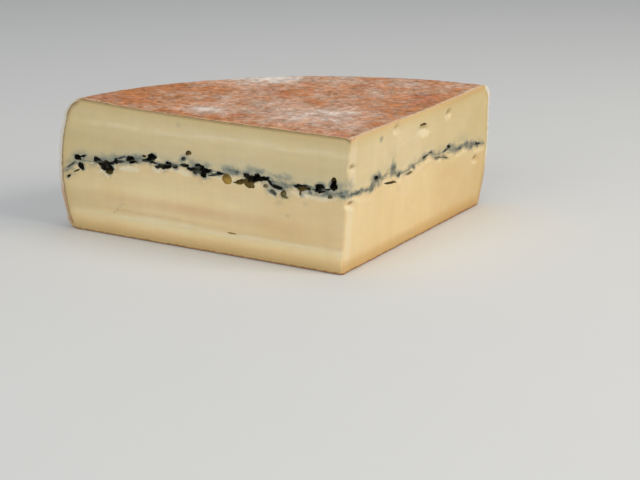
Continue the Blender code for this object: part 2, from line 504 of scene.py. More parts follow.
def vertex_places(mesh: bpy.types.Mesh) -> np.ndarray:
    """The places of a mesh's vertices in millimetres, one row each."""
    places = np.zeros(len(mesh.vertices) * 3)
    mesh.vertices.foreach_get("co", places)
    return places.reshape(-1, 3) / MM


def set_values(mesh: bpy.types.Mesh, name: str, values: np.ndarray) -> None:
    """Store one number, or one colour, for each vertex.

    Args:
        mesh: the finished mesh.
        name: the attribute's name, which the materials read.
        values: a flat array of numbers, or an array with three columns of colours.
    """
    if values.ndim == 1:
        mesh.attributes.new(name, "FLOAT", "POINT").data.foreach_set("value", values.astype(np.float32))
    else:
        colours = np.ones((len(values), 4), np.float32)
        colours[:, :3] = values
        mesh.attributes.new(name, "FLOAT_COLOR", "POINT").data.foreach_set("color", colours.ravel())


class Wire:
    """The output of a shader node, in arithmetic with other outputs and with numbers."""

    def __init__(self, book: "NodeBook", socket: bpy.types.NodeSocket) -> None:
        """Wrap a socket of the book's node tree."""
        self.book = book
        self.socket = socket

    def math(self, operation: str, *values: "Wire | float") -> "Wire":
        """One Math node on these values."""
        return self.book.node("ShaderNodeMath", {"operation": operation}, dict(enumerate(values)))

    def __add__(self, other: "Wire | float") -> "Wire":
        """The sum."""
        return self.math("ADD", self, other)

    def __radd__(self, other: "Wire | float") -> "Wire":
        """The sum, with a number first."""
        return self.math("ADD", other, self)

    def __sub__(self, other: "Wire | float") -> "Wire":
        """The difference."""
        return self.math("SUBTRACT", self, other)

    def __rsub__(self, other: "Wire | float") -> "Wire":
        """The difference, with a number first."""
        return self.math("SUBTRACT", other, self)

    def __mul__(self, other: "Wire | float") -> "Wire":
        """The product."""
        return self.math("MULTIPLY", self, other)

    def __rmul__(self, other: "Wire | float") -> "Wire":
        """The product, with a number first."""
        return self.math("MULTIPLY", other, self)

    def __truediv__(self, other: "Wire | float") -> "Wire":
        """The quotient."""
        return self.math("DIVIDE", self, other)

    def __pow__(self, power: float) -> "Wire":
        """The power."""
        return self.math("POWER", self, power)

    def __abs__(self) -> "Wire":
        """The value without its sign."""
        return self.math("ABSOLUTE", self)

    def step(self, low: "Wire | float", high: float) -> "Wire":
        """A soft change from 0 at low to 1 at high, also where high is the lower."""
        return self.book.node(
            "ShaderNodeMapRange",
            {"interpolation_type": "SMOOTHSTEP"},
            {0: self, 1: low, 2: high, 3: 0.0, 4: 1.0},
        )

    def band(self, middle: float, half: float) -> "Wire":
        """A soft band that is 1 at the middle and 0 beyond half its width."""
        return abs(self - middle).step(half, 0.0)


class NodeBook:
    """Writes the node tree of one material."""

    def __init__(self, name: str) -> None:
        """Start a material with an empty tree.

        Args:
            name: the material's name.
        """
        self.material = bpy.data.materials.new(name)
        self.material.use_nodes = True
        self.tree = self.material.node_tree
        self.tree.nodes.clear()

    def node(self, kind: str, settings: dict | None = None, inputs: dict | None = None,
             output: int | str = 0) -> Wire:
        """Add a node.

        Args:
            kind: the node's type.
            settings: its own settings by name.
            inputs: values or wires by the socket's name or number.
            output: which output to return.

        Returns:
            The wire that leaves the node.
        """
        made = self.tree.nodes.new(kind)
        for name, value in (settings or {}).items():
            setattr(made, name, value)
        for key, value in (inputs or {}).items():
            if isinstance(value, Wire):
                self.tree.links.new(value.socket, made.inputs[key])
            else:
                made.inputs[key].default_value = value
        return Wire(self, made.outputs[output])

    def place(self) -> Wire:
        """The place on the object in millimetres."""
        local = self.node("ShaderNodeTexCoord", output="Object")
        return self.node("ShaderNodeVectorMath", {"operation": "SCALE"}, {0: local, "Scale": 1 / MM})

    def parts(self, vector: Wire) -> tuple[Wire, Wire, Wire]:
        """The three parts of a vector."""
        split = self.node("ShaderNodeSeparateXYZ", inputs={0: vector}).socket.node
        return tuple(Wire(self, split.outputs[i]) for i in range(3))

    def vector(self, x: Wire | float, y: Wire | float, z: Wire | float) -> Wire:
        """A vector from its three parts."""
        return self.node("ShaderNodeCombineXYZ", inputs={0: x, 1: y, 2: z})

    def stretch(self, vector: Wire, sizes: tuple[float, float, float]) -> Wire:
        """The vector with each part divided by a size."""
        return self.node("ShaderNodeVectorMath", {"operation": "DIVIDE"}, {0: vector, 1: sizes})

    def cloud(self, vector: Wire, size: float, detail: float = 3.0, rough: float = 0.55) -> Wire:
        """Noise from 0 to 1 whose bumps are about this size."""
        return self.node("ShaderNodeTexNoise", inputs={
            "Vector": vector, "Scale": 1 / size, "Detail": detail, "Roughness": rough})

    def cells(self, vector: Wire, size: float) -> Wire:
        """The distance to the nearest of many scattered points, about this size apart."""
        return self.node("ShaderNodeTexVoronoi", inputs={"Vector": vector, "Scale": 1 / size})

    def stored(self, name: str) -> Wire:
        """A number that the mesh stores for each vertex."""
        return self.node("ShaderNodeAttribute", {"attribute_name": name}, output="Fac")

    def stored_colour(self, name: str) -> Wire:
        """A colour that the mesh stores for each vertex."""
        return self.node("ShaderNodeAttribute", {"attribute_name": name}, output="Color")

    def mix(self, share: Wire | float, under: Wire | Colour, over: Wire | Colour,
            blend: str = "MIX") -> Wire:
        """One colour over another.

        Args:
            share: how much of the upper colour shows.
            under: the lower colour.
            over: the upper colour.
            blend: how they are put together.

        Returns:
            The mixed colour.
        """
        def full(colour: Wire | Colour) -> Wire | tuple:
            """A colour with its alpha, where it is a plain one."""
            return colour if isinstance(colour, Wire) else (*colour, 1.0)
        return self.node("ShaderNodeMix", {"data_type": "RGBA", "blend_type": blend},
                         {0: share, 6: full(under), 7: full(over)}, output=2)

    def shade(self, colour: Wire, value: Wire) -> Wire:
        """The colour made lighter or darker by a number round 1."""
        grey = self.vector(value, value, value)
        return self.mix(1.0, colour, grey, "MULTIPLY")

    def bump(self, height: Wire, depth: float, below: Wire | None = None) -> Wire:
        """A normal from a height of 0 to 1.

        Args:
            height: the relief.
            depth: its depth in millimetres.
            below: a normal that it lies on.

        Returns:
            The new normal.
        """
        inputs = {"Strength": 1.0, "Distance": depth * MM, "Height": height}
        if below is not None:
            inputs["Normal"] = below
        return self.node("ShaderNodeBump", inputs=inputs)

    def finish(self, inputs: dict) -> bpy.types.Material:
        """End the tree with a Principled shader and return the material."""
        shader = self.node("ShaderNodeBsdfPrincipled", inputs=inputs)
        out = self.tree.nodes.new("ShaderNodeOutputMaterial")
        self.tree.links.new(shader.socket, out.inputs["Surface"])
        return self.material


@dataclass(frozen=True)
class AshStain:
    """The blue-grey that ash leaves in the paste round it."""

    colour: Colour = (0.188, 0.243, 0.230)
    earthy: Colour = (0.225, 0.220, 0.170)
    dark: Colour = (0.032, 0.036, 0.030)

    def over(self, book: NodeBook, place: Wire, colour: Wire, strength: Wire, right: Wire) -> Wire:
        """Lay the stain over a colour, broken up into wisps.

        Args:
            book: the material's tree.
            place: the place on the object.
            colour: what it lies over.
            strength: how much of it there is.
            right: 1 on the right cut, where it is browner, and 0 on the left.

        Returns:
            The stained colour.
        """
        wisps = book.cloud(book.stretch(place, (1.8, 1.8, 1.0)), 3.2, 5.0, 0.62)
        clumps = book.cloud(book.stretch(place, (0.8, 0.8, 1.2)), 3.2, 5.0, 0.62)
        wisps = wisps + (clumps - wisps) * right
        threads = book.cloud(book.stretch(place, (0.9, 0.9, 2.4)), 1.5, 4.0, 0.6)
        broken = 1.1 * wisps + 0.6 * threads - 0.20
        share = (strength * (0.25 + 1.30 * broken)).step(0.10, 0.90)
        core = (strength * broken).step(0.40, 0.74)
        soft = book.mix(0.88 * share, colour, book.mix(0.75 * right, self.colour, self.earthy))
        return book.mix((0.84 - 0.22 * right) * core, soft, self.dark)


@dataclass(frozen=True)
class PasteFinish:
    """Pressed, semi-hard paste as the knife leaves it: pale and greener above the ash, warmer below."""

    foot: tuple[float, float]
    upper: Colour = (0.812, 0.650, 0.362)
    lower: Colour = (0.890, 0.672, 0.355)
    middle: Colour = (0.960, 0.750, 0.410)
    # darker paste near the rind, partly painted shade under the top edge
    rim: Colour = (0.690, 0.500, 0.205)
    far_tone: Colour = (0.710, 0.555, 0.265)  # darker and yellower towards the rind at the far ends of the cuts
    gold: Colour = (0.860, 0.600, 0.220)
    foot_tint: Colour = (0.660, 0.350, 0.105)
    skin_line: Colour = (0.270, 0.150, 0.055)
    skin_warm: Colour = (0.800, 0.490, 0.200)
    skin_side: Colour = (0.840, 0.780, 0.680)
    skin_low: Colour = (0.640, 0.430, 0.260)
    olive: Colour = (0.560, 0.440, 0.170)
    lip_far: Colour = (0.520, 0.300, 0.115)
    skin_top: Colour = (0.640, 0.330, 0.160)
    cream: Colour = (0.930, 0.720, 0.470)
    # the rind at the base, darkened as painted contact shadow
    base_rind_and_contact_shadow: Colour = (0.290, 0.092, 0.030)
    # pale curd, and the colour of the painted highlights on the cuts
    pale: Colour = (0.960, 0.850, 0.620)
    pale_warm: Colour = (1.000, 0.850, 0.560)
    drift: Colour = (0.440, 0.520, 0.400)  # the bluish veil above the ash
    rose: Colour = (0.700, 0.480, 0.290)
    shadow: Colour = (0.330, 0.200, 0.065)
    blush: Colour = (0.840, 0.560, 0.300)
    stain: AshStain = AshStain()

    def distances(self, book: NodeBook, place: Wire) -> tuple[Wire, Wire]:
        """The distance from the point along either cut, and the height."""
        x, _, z = book.parts(place)
        return abs(x - self.foot[0]) * 2**0.5, z

    def ridge(self, book: NodeBook, along: Wire, z: Wire, level: float, half: float, seed: float) -> Wire:
        """A thin, wandering ridge that the knife left across the left cut, from 0 to 1.

        Args:
            book: the material's tree.
            along: the distance from the point.
            z: the height.
            level: the ridge's height.
            half: half its width.
            seed: shifts its course.

        Returns:
            How high the ridge is.
        """
        course = book.cloud(book.vector(along / 42.0, seed, 0.0), 1.0, 2.0)
        broken = book.cloud(book.vector(along / 14.0, seed, z / 5.0), 1.0, 3.0).step(0.28, 0.62)
        return abs(z - level - 4.0 * (course - 0.5)).step(half, 0.0) * (0.25 + 0.75 * broken)

    def ridges(self, book: NodeBook, place: Wire) -> Wire:
        """The knife's ridges across the left cut, from 0 to 1."""
        along, z = self.distances(book, place)
        left = book.stored("left")
        high = self.ridge(book, along, z, 61.8, 2.6, 3.0)
        low = self.ridge(book, along, z, 11.6, 2.4, 7.0)
        faint = self.ridge(book, along, z, 17.2, 1.6, 11.0) * along.band(110.0, 60.0)
        return (0.75 * high + low + 0.55 * faint) * left * along.step(172.0, 140.0)

    def base(self, book: NodeBook, place: Wire) -> Wire:
        """The paste's colour, with painted highlights, painted shade and painted light bands, without skin
        and ash.

        Args:
            book: the material's tree.
            place: the place on the object.

        Returns:
            The colour.
        """
        x, _, _ = book.parts(place)
        along, z = self.distances(book, place)
        left = book.stored("left")
        right = 1.0 - left
        colour = book.mix(book.stored("vein").step(-4.0, 5.0), self.lower, self.upper)
        streaks = book.cloud(book.vector(along / 5.0, left * 40.0, z), 2.4, 4.0)
        slow = book.cloud(place, 30.0, 2.0)
        patches = book.cloud(book.stretch(place, (1.6, 1.6, 1.0)), 7.0, 3.0)
        broad = z.band(30.0, 10.0) * left * along.band(115.0, 100.0) * (0.6 + 0.8 * streaks)
        colour = book.mix(0.70 * broad, colour, self.middle)
        warm = z.band(21.5, 4.6) * along.band(95.0, 95.0) * left * (0.4 + 1.2 * streaks)
        colour = book.mix(0.66 * warm, colour, self.blush)
        furrow = self.ridge(book, along, z, 14.6, 1.5, 19.0) * along.band(115.0, 62.0) * left
        colour = book.mix(0.50 * furrow, colour, self.rose)
        # darker and yellower towards the rind at the far ends of the cuts
        toward_far_end = along.step(70.0, 165.0) * right * (1.0 - 0.25 * z.step(44.0, 34.0))
        toward_far_end = toward_far_end + 0.55 * along.step(118.0, 178.0) * left
        colour = book.mix(0.80 * toward_far_end, colour, self.far_tone)
        colour = book.mix(0.22 * right * z.step(40.0, 12.0), colour, self.gold)
        # painted highlight: the knife ridges and a low band on the left cut are painted pale where light
        # catches them
        light = 0.75 * self.ridges(book, place) + 0.35 * z.band(10.5, 3.6) * left
        colour = book.mix(0.52 * light * streaks.step(0.10, 0.55), colour, self.pale)
        dusk = along.step(92.0, 130.0) * (0.05 + 0.15 * z.step(37.0, 30.0)) * right
        dusk = dusk + 0.13 * along.step(85.0, 50.0) * z.band(17.5, 9.0) * left
        colour = book.mix(dusk, colour, self.foot_tint)
        # painted highlight: a pale band on the right cut beside the rounded corner, where the corner catches
        # light
        edge = abs(x - self.foot[0] - 2.4 - z / 20.0).step(3.4, 1.0)
        colour = book.mix(0.34 * edge * right, colour, self.pale)
        veil = book.stored("vein").band(4.0, 5.5) * (0.5 + streaks) * (0.20 - 0.10 * right)
        colour = book.mix(veil, colour, self.drift)
        high = z.band(59.5, 4.5) * along.band(85.0, 50.0) * right * streaks.step(0.3, 0.6)
        colour = book.mix(0.14 * slow.step(0.35, 0.75) + 0.16 * high, colour, self.pale)
        crumb = book.cloud(place, 2.0, 4.0)
        # pale crumbs below the ash line, a painted highlight on the lower lips of the clean eyes, then
        # painted shade in their upper parts
        curds = (book.stored("pale") * (0.2 + 1.5 * crumb)).step(0.20, 1.00)
        colour = book.mix(0.80 * curds, colour, book.mix(left, self.pale_warm, self.pale))
        colour = book.mix(0.80 * book.stored("warm"), colour, self.shadow)
        colour = book.mix((0.45 + 0.40 * right) * z.step(10.0, 0.0), colour, self.foot_tint)
        columns = book.cloud(book.vector(along, left * 40.0, z / 12.0), 5.0, 3.0)
        uneven = 0.86 + 0.08 * slow + 0.08 * streaks + 0.06 * patches + 0.08 * columns
        # painted light: brightness bands on the left cut, lighter along the upper knife ridge and low down
        # where light bounces from the floor, with other lighter and darker bands
        level = 0.05 * z.band(62.0, 4.0) - 0.045 * z.band(52.5, 5.0) + 0.14 * z.band(7.5, 8.5)
        level = level + 0.06 * z.band(26.5, 6.0) * along.step(40.0, 75.0)
        level = level + 0.07 * z.band(16.0, 2.6) * along.band(85.0, 50.0)
        level = level - 0.05 * z.band(13.2, 2.0) * along.step(90.0, 40.0)
        dim = 0.040 * right * book.stored("vein").step(2.0, 5.0)
        return book.shade(colour, uneven + level * left - dim)

    def skin(self, book: NodeBook, place: Wire, colour: Wire) -> Wire:
        """Lay the cut edge of the rind over the paste, with painted contact shadow along the base.

        Args:
            book: the material's tree.
            place: the place on the object.
            colour: the paste's colour.

        Returns:
            The colour with the rind's edge.
        """
        ragged = book.stored("depth") + 0.9 * (book.cloud(place, 3.0, 4.0) - 0.5)
        wall = book.stored("wall")
        left = book.stored("left")
        right = 1.0 - left
        x, _, _ = book.parts(place)
        along, z = self.distances(book, place)
        far = along.step(90.0, 145.0) * right * (1.0 - wall)
        low = z.step(3.0, 1.4)
        # darker paste within a few millimetres of the rind, partly painted shade under the top edge
        colour = book.mix(0.55 * ragged.step(9.0, 1.0), colour, self.rim)
        colour = book.mix(0.50 * far * ragged.step(5.5, 0.5), colour, self.lip_far)
        apex = abs(x - self.foot[0] - 4.0).step(3.5, 0.5) * z.step(60.0, 66.0)
        inside = ragged - (0.8 + 1.3 * right) * wall - 1.4 * apex
        shoulder = left * z.step(58.0, 66.0)
        mottle = book.cloud(place, 3.0, 3.0)
        strong = (0.25 + 1.1 * mottle) * (0.68 + 0.32 * left) * (1.0 - low)
        line = inside.step(3.8 - 0.8 * left + 1.3 * shoulder * wall, 0.7) * strong
        warm = book.mix(wall, self.skin_warm, self.olive)
        colour = book.mix(0.90 * line, colour, book.mix(left, warm, self.skin_line))
        side = book.mix(z.step(32.0, 16.0), self.skin_side, self.skin_low)
        top = book.mix(mottle.step(0.42, 0.58) * (0.85 - 0.37 * left), self.skin_top, self.cream)
        top = book.mix(0.65 * far, top, self.lip_far)
        edge = book.mix(wall, top, side)
        cover = 0.95 - shoulder * (0.60 - mottle)
        colour = book.mix(cover * inside.step(1.0, 0.4) * (1.0 - low), colour, edge)
        # the thin rind line at the base, with painted contact shadow along it
        hem = z + 1.8 * (book.cloud(place, 2.6, 3.0) - 0.5)
        return book.mix((0.88 - 0.18 * left) * hem.step(1.3, 0.2), colour, self.base_rind_and_contact_shadow)

    def make(self) -> bpy.types.Material:
        """The material of the cuts."""
        book = NodeBook("morbier paste")
        place = book.place()
        colour = self.base(book, place)
        x, _, z = book.parts(place)
        strength = book.stored("stain") * (1.0 - 0.55 * book.stored("pale"))
        colour = self.stain.over(book, place, colour, strength, 1.0 - book.stored("left"))
        colour = self.skin(book, place, colour)
        lines = book.cloud(book.vector(x / 9.0, 0.0, z), 0.55, 3.0)
        grain = book.cloud(place, 0.9, 3.0)
        curd = book.cloud(place, 4.5, 3.0)
        normal = book.bump(lines * 0.5 + grain * 0.5, 0.10)
        normal = book.bump(curd, 0.35, normal)
        normal = book.bump(self.ridges(book, place), 0.45, normal)
        rough = 0.46 + 0.16 * curd
        return book.finish({
            "Base Color": colour, "Roughness": rough, "Normal": normal, "IOR": 1.44,
            "Specular IOR Level": 0.42, "Subsurface Weight": 0.30, "Subsurface Scale": 0.0022,
            "Subsurface Radius": (1.0, 0.62, 0.32)})


@dataclass(frozen=True)
class HollowFinish:
    """The walls of holes: coated with ash along the line, and clean and shiny in the eyes of the paste."""

    film: Colour = (0.200, 0.150, 0.062)  # paste that shows through the ash

    def make(self) -> bpy.types.Material:
        """The material of the holes."""
        book = NodeBook("hole walls")
        place = book.place()
        mottle = book.cloud(place, 1.6, 4.0)
        # the stored wall colour carries painted shade above and painted light below in each hole
        colour = book.shade(book.stored_colour("shaded_lining"), 0.60 + 0.8 * mottle)
        colour = book.mix(0.30 * book.cloud(place, 2.6, 3.0).step(0.52, 0.72), colour, self.film)
        normal = book.bump(book.cloud(place, 1.1, 3.0), 0.25)
        return book.finish({
            "Base Color": colour, "Roughness": 0.42 + 0.25 * mottle, "Normal": normal,
            "Specular IOR Level": 0.30})


@dataclass(frozen=True)
class AshFinish:
    """Fine vegetable ash, nearly black where it lies thick and blue-grey where it thins out."""

    thin: Colour = (0.330, 0.320, 0.230)
    grey: Colour = (0.130, 0.145, 0.125)
    thick: Colour = (0.020, 0.022, 0.019)

    def make(self) -> bpy.types.Material:
        """The material of the ash layer."""
        book = NodeBook("vegetable ash")
        place = book.place()
        patches = book.cloud(place, 6.0, 4.0)
        dense = book.stored("dense") + 0.5 * (patches - 0.5)
        colour = book.mix(dense.step(0.05, 0.45), self.thin, self.grey)
        colour = book.mix(dense.step(0.40, 0.80), colour, self.thick)
        colour = book.shade(colour, 0.75 + 0.5 * book.cloud(place, 0.7, 3.0))
        normal = book.bump(book.cloud(place, 0.8, 4.0), 0.25)
        return book.finish({
            "Base Color": colour, "Roughness": 0.80 + 0.15 * patches, "Normal": normal,
            "Specular IOR Level": 0.25})


@dataclass(frozen=True)
class RindFinish:
    """Washed rind: orange with a whitish bloom on top, and whiter, with the cloth's mark, on the side."""

    axis: tuple[float, float]
    side_reach: float
    orange: Colour = (0.640, 0.238, 0.082)
    red: Colour = (0.600, 0.178, 0.082)
    brown: Colour = (0.430, 0.200, 0.075)
    bloom: Colour = (0.770, 0.560, 0.440)
    bright: Colour = (0.970, 0.880, 0.800)
    cream: Colour = (0.930, 0.700, 0.450)
    white: Colour = (0.700, 0.620, 0.540)
    tan: Colour = (0.540, 0.390, 0.275)
    spot: Colour = (0.370, 0.200, 0.100)
    speck: Colour = (0.170, 0.100, 0.055)
    weave_pitch: float = 1.5
    haze: float = 0.33  # the bloom that lies everywhere on top

    def top(self, book: NodeBook, place: Wire) -> Wire:
        """The colour of the top, from the layout that the mesh stores.

        Args:
            book: the material's tree.
            place: the place on the object.

        Returns:
            The colour.
        """
        fine = book.cloud(place, 2.4, 4.0, 0.62)
        middle = book.cloud(place, 8.0, 4.0, 0.6)
        large = book.cloud(place, 22.0, 3.0)
        blush = book.stored("blush")
        colour = book.mix(0.55 * (large + 0.8 * (middle - 0.5)).step(0.44, 0.70), self.orange, self.brown)
        colour = book.mix(0.6 * (blush + 0.9 * (middle - 0.5)).step(0.20, 0.95), colour, self.red)
        haze = 0.95 * (self.haze + book.stored("bloom"))
        amount = haze + 2.0 * (middle - 0.5) + 0.9 * (large - 0.5) + 1.3 * (fine - 0.5)
        colour = book.mix(0.84 * amount.step(-0.25, 1.05), colour, self.bloom)
        colour = book.mix(0.80 * amount.step(0.66, 1.50), colour, self.bright)
        grain = book.cloud(place, 4.6, 5.0, 0.7)
        blotch = book.cloud(place, 15.0, 3.0, 0.6)
        colour = book.shade(colour, (1.90 * grain + 0.30 * fine - 0.14) * (0.61 + 0.76 * blotch))
        pins = book.cells(place, 7.0).step(0.24, 0.13) * book.cloud(place, 12.0, 2.0).step(0.46, 0.60)
        colour = book.mix(0.70 * pins, colour, self.speck)
        crust = (book.cloud(place, 4.4, 5.0, 0.66) - 0.30 * haze).step(0.50, 0.66)
        colour = book.mix(0.42 * crust, colour, self.speck)
        fringe = (book.stored("fringe") * (0.1 + 1.7 * fine)).step(0.35, 0.85)
        return book.mix(0.74 * fringe, colour, self.cream)

    def wall(self, book: NodeBook, place: Wire) -> tuple[Wire, Wire]:
        """The colour and the relief of the side.

        Args:
            book: the material's tree.
            place: the place on the object.

        Returns:
            The colour, and the height of the cloth's mark from 0 to 1.
        """
        x, y, z = book.parts(place)
        turn = z.math("ARCTAN2", x - self.axis[0], y - self.axis[1])
        round_it = turn * self.side_reach
        wide = book.vector(round_it, z, 0.0)
        drift = book.cloud(wide, 34.0, 3.0)
        middle = book.cloud(wide, 9.0, 4.0, 0.6)
        fine = book.cloud(wide, 2.0, 4.0, 0.6)
        colour = book.mix((drift + 0.5 * (middle - 0.5)).step(0.46, 0.64), self.white, self.tan)
        low = z.step(26.0, 4.0)
        colour = book.mix(0.35 * low * middle.step(0.3, 0.7), colour, self.tan)
        groups = book.cloud(wide, 30.0, 2.0).step(0.54, 0.66)
        blots = (book.cells(wide, 11.0) + 0.5 * (fine - 0.5)).step(0.46, 0.22) * groups
        specks = (book.cells(wide, 5.0) + 0.4 * (fine - 0.5)).step(0.26, 0.12) * drift.step(0.46, 0.60)
        colour = book.mix(0.80 * blots, colour, self.spot)
        colour = book.mix(0.60 * specks, colour, self.spot)
        runs = book.cloud(book.vector(round_it / 2.4, z / 16.0, 3.0), 1.6, 3.0).step(0.60, 0.74)
        colour = book.mix(0.38 * runs * drift.step(0.45, 0.6), colour, self.spot)
        pins = book.cells(wide, 3.4).step(0.20, 0.10) * middle.step(0.5, 0.64)
        colour = book.mix(0.5 * pins, colour, self.speck)
        diagonal = 2 * pi / self.weave_pitch * 0.5**0.5
        sway = 1.2 * (middle - 0.5)
        warp = z.math("SINE", (round_it + z + sway) * diagonal)
        weft = z.math("SINE", (round_it - z + sway) * diagonal)
        weave = 0.5 + 0.5 * warp * weft
        colour = book.shade(colour, 0.80 + 0.22 * fine + 0.14 * weave)
        return colour, weave

    def make(self) -> bpy.types.Material:
        """The material of the rind."""
        book = NodeBook("washed rind")
        place = book.place()
        wall = book.stored("wall")
        side, weave = self.wall(book, place)
        colour = book.mix(wall, self.top(book, place), side)
        lip = wall.band(0.5, 0.5)
        colour = book.mix(0.30 * lip, colour, self.tan)
        normal = book.bump(weave * wall, 0.22)
        normal = book.bump(book.cloud(place, 0.9, 4.0, 0.65), 0.26, normal)
        normal = book.bump(book.cloud(place, 3.0, 4.0), 0.75, normal)
        rough = 0.70 + 0.2 * book.cloud(place, 5.0, 2.0)
        return book.finish({
            "Base Color": colour, "Roughness": rough, "Normal": normal, "Specular IOR Level": 0.30,
            "Subsurface Weight": 0.06, "Subsurface Scale": 0.001, "Subsurface Radius": (1.0, 0.5, 0.3)})


@dataclass(frozen=True)
class FloorFinish:
    """A matt pale studio floor."""

    colour: Colour = (0.82, 0.82, 0.81)

    def make(self) -> bpy.types.Material:
        """The material of the floor."""
        book = NodeBook("studio floor")
        grain = book.cloud(book.place(), 60.0, 2.0)
        tone = book.mix(grain, tuple(0.985 * c for c in self.colour), self.colour)
        return book.finish({"Base Color": tone, "Roughness": 0.85, "Specular IOR Level": 0.2})


def lobes(*rows: tuple) -> tuple[Lobe, ...]:
    """Lobes from rows of their sizes, where a missing tilt is 0 and a missing tone black."""
    made = []
    for row in rows:
        tone = row[-1] if isinstance(row[-1], Tone) else Tone.BLACK
        sizes = row[:-1] if isinstance(row[-1], Tone) else row
        made.append(Lobe(*sizes, *([0.0] if len(sizes) == 5 else []), tone))
    return tuple(made)


def stains(*rows: tuple) -> tuple[Stain, ...]:
    """Stains from rows of their sizes."""
    return tuple(Stain(*row) for row in rows)


S, G, N, O, Y, C = Tone.SOOT, Tone.GREY, Tone.BROWN, Tone.OLIVE, Tone.GOLD, Tone.CLEAN

# Along, height, wide, tall, deep, tilt and tone of each lobe on the left cut, from the point outwards
LEFT_LOBES = lobes(
    (6.5, 45.8, 4.4, 4.6, 6), (6.2, 48.6, 3.2, 3.6, 4, 0, N), (10.5, 43.4, 5.0, 1.0, 2, -12),
    (8.2, 39.8, 3.4, 1.8, 1.4, -12, O), (14.2, 43.6, 5.2, 4.6, 5), (16.4, 42.3, 3.0, 1.6, 3),
    (23.8, 43.0, 9.5, 2.6, 4), (25.4, 42.4, 5.0, 3.8, 4, 0, N), (25.7, 39.8, 1.6, 3.0, 1.5, 0, O),
    (34.4, 36.3, 3.0, 1.6, 1.5, 0, O), (35.7, 38.0, 3.6, 4.2, 3, 40, O), (40.2, 41.0, 6.0, 2.4, 4, 8),
    (42.2, 38.2, 4.6, 2.4, 2, 25, G), (43.7, 42.6, 5.0, 1.4, 3, 40), (46.7, 40.6, 3.0, 2.0, 1.5, 0, O),
    (49.7, 44.2, 10.0, 2.6, 8, -8), (51.7, 46.0, 3.0, 2.4, 2, 0, G), (54.7, 43.4, 8.0, 4.4, 8, -25),
    (56.7, 40.6, 7.0, 4.6, 3.4, 25, N), (58.5, 45.0, 5.0, 2.6, 5, 0, S),
    (61.7, 41.0, 7.0, 3.0, 3, -15, N), (64.2, 40.2, 5.0, 1.2, 2, 0, N), (70.4, 41.3, 6.2, 5.6, 2.6, 0, Y),
    (75.4, 43.8, 3.6, 2.0, 3), (78.7, 42.4, 8.0, 0.9, 1.5, -10, G), (84.2, 44.0, 8.0, 2.4, 4, -5),
    (87.5, 44.6, 7.5, 4.6, 8, 20), (85.4, 42.2, 4.0, 4.2, 6), (90.7, 42.6, 4.0, 3.0, 4, 0, G),
    (91.8, 44.3, 4.0, 1.8, 3, -25), (94.2, 43.9, 4.4, 1.8, 3, 15), (97.4, 45.3, 6.0, 1.7, 4),
    (95, 52.3, 4.4, 2.6, 1.8, -15, N), (98.4, 48.8, 3.2, 2.0, 2, -25, G),
    (103.6, 44.2, 3.8, 3.0, 3, 0, S), (107.7, 44.7, 5.0, 2.6, 4), (109.7, 43.4, 6.4, 3.2, 5, -12),
    (113.2, 43.4, 4.4, 2.6, 3, 0, S), (115.4, 42.2, 3.0, 1.8, 2, 0, S), (119.4, 46.6, 5.6, 4.4, 6, -30),
    (122.8, 45.2, 5.0, 1.8, 3, -10), (124, 47.2, 3.0, 1.6, 2, 0, N), (133.1, 43.8, 5.6, 4.2, 6, 15),
    (130.2, 43.4, 3.0, 1.2, 2), (139.7, 44.4, 6.0, 1.0, 1.5, -18, G), (143, 42.2, 3.0, 3.2, 3, 20, S),
    (145.7, 40.6, 3.0, 1.4, 2), (147.6, 37.6, 5.4, 6.0, 7), (148, 35.3, 5.6, 2.4, 4, 0, N),
    (151.5, 38.6, 5.4, 4.6, 5, 40), (154, 40.4, 7.0, 3.2, 5, 25), (156.8, 41.4, 3.8, 3.4, 5, 0, S),
    (149.4, 41.0, 4.0, 2.0, 2, 0, O), (169, 41.2, 4.2, 2.8, 4), (165.8, 42.2, 5.0, 1.2, 2, -15),
    (167, 36.6, 4.6, 3.6, 4, 25), (173.7, 36.8, 6.0, 1.0, 1.5, -35, G),
    (170.2, 33.6, 5.0, 1.0, 1.5, -25, O), (175.8, 29.8, 3.0, 1.3, 2, -25),
    (67.2, 12.3, 6.0, 0.9, 0.8, 0, Y),
)
RIGHT_LOBES = lobes(
    (48.4, 38.8, 14.5, 1.6, 4, -9, N), (31.4, 45.0, 6.6, 2.2, 2, -8, S), (57.2, 41.6, 5.0, 2.0, 2, 0, S),
    (70.8, 39.6, 7.0, 1.4, 1.5, 4, O), (88.2, 45.0, 4.4, 1.5, 1.5, 4, N),
    (96.2, 46.2, 4.0, 0.9, 1.2, -10, N), (106.7, 41.4, 9.0, 0.9, 0.9, -8, N),
    (115.7, 39.6, 8.0, 0.8, 0.9, -12, N), (119.7, 44.8, 4.8, 2.2, 2.5, -6, S),
    (159.6, 39.7, 5.0, 1.3, 1.5, -22, S), (5.0, 55.0, 10.0, 3.6, 1.2, -12, C),
    (4.6, 56.4, 5.0, 0.9, 0.8, -14, N), (4.5, 35.8, 10.0, 4.2, 1.4, -14, C),
    (5.2, 37.2, 4.8, 1.1, 0.8, -20, N), (51.5, 37.4, 11.0, 3.4, 0.9, -6, C),
    (52.4, 66.8, 8.0, 5.4, 1.4, 0, C), (85.8, 60.6, 13.0, 6.4, 1.9, -6, C),
    (84.8, 64.0, 9.0, 1.9, 2.0, -6, N), (117.0, 64.2, 9.0, 6.0, 1.3, 0, C),
    (159.0, 29.6, 8.0, 5.0, 1.4, 0, C),
)

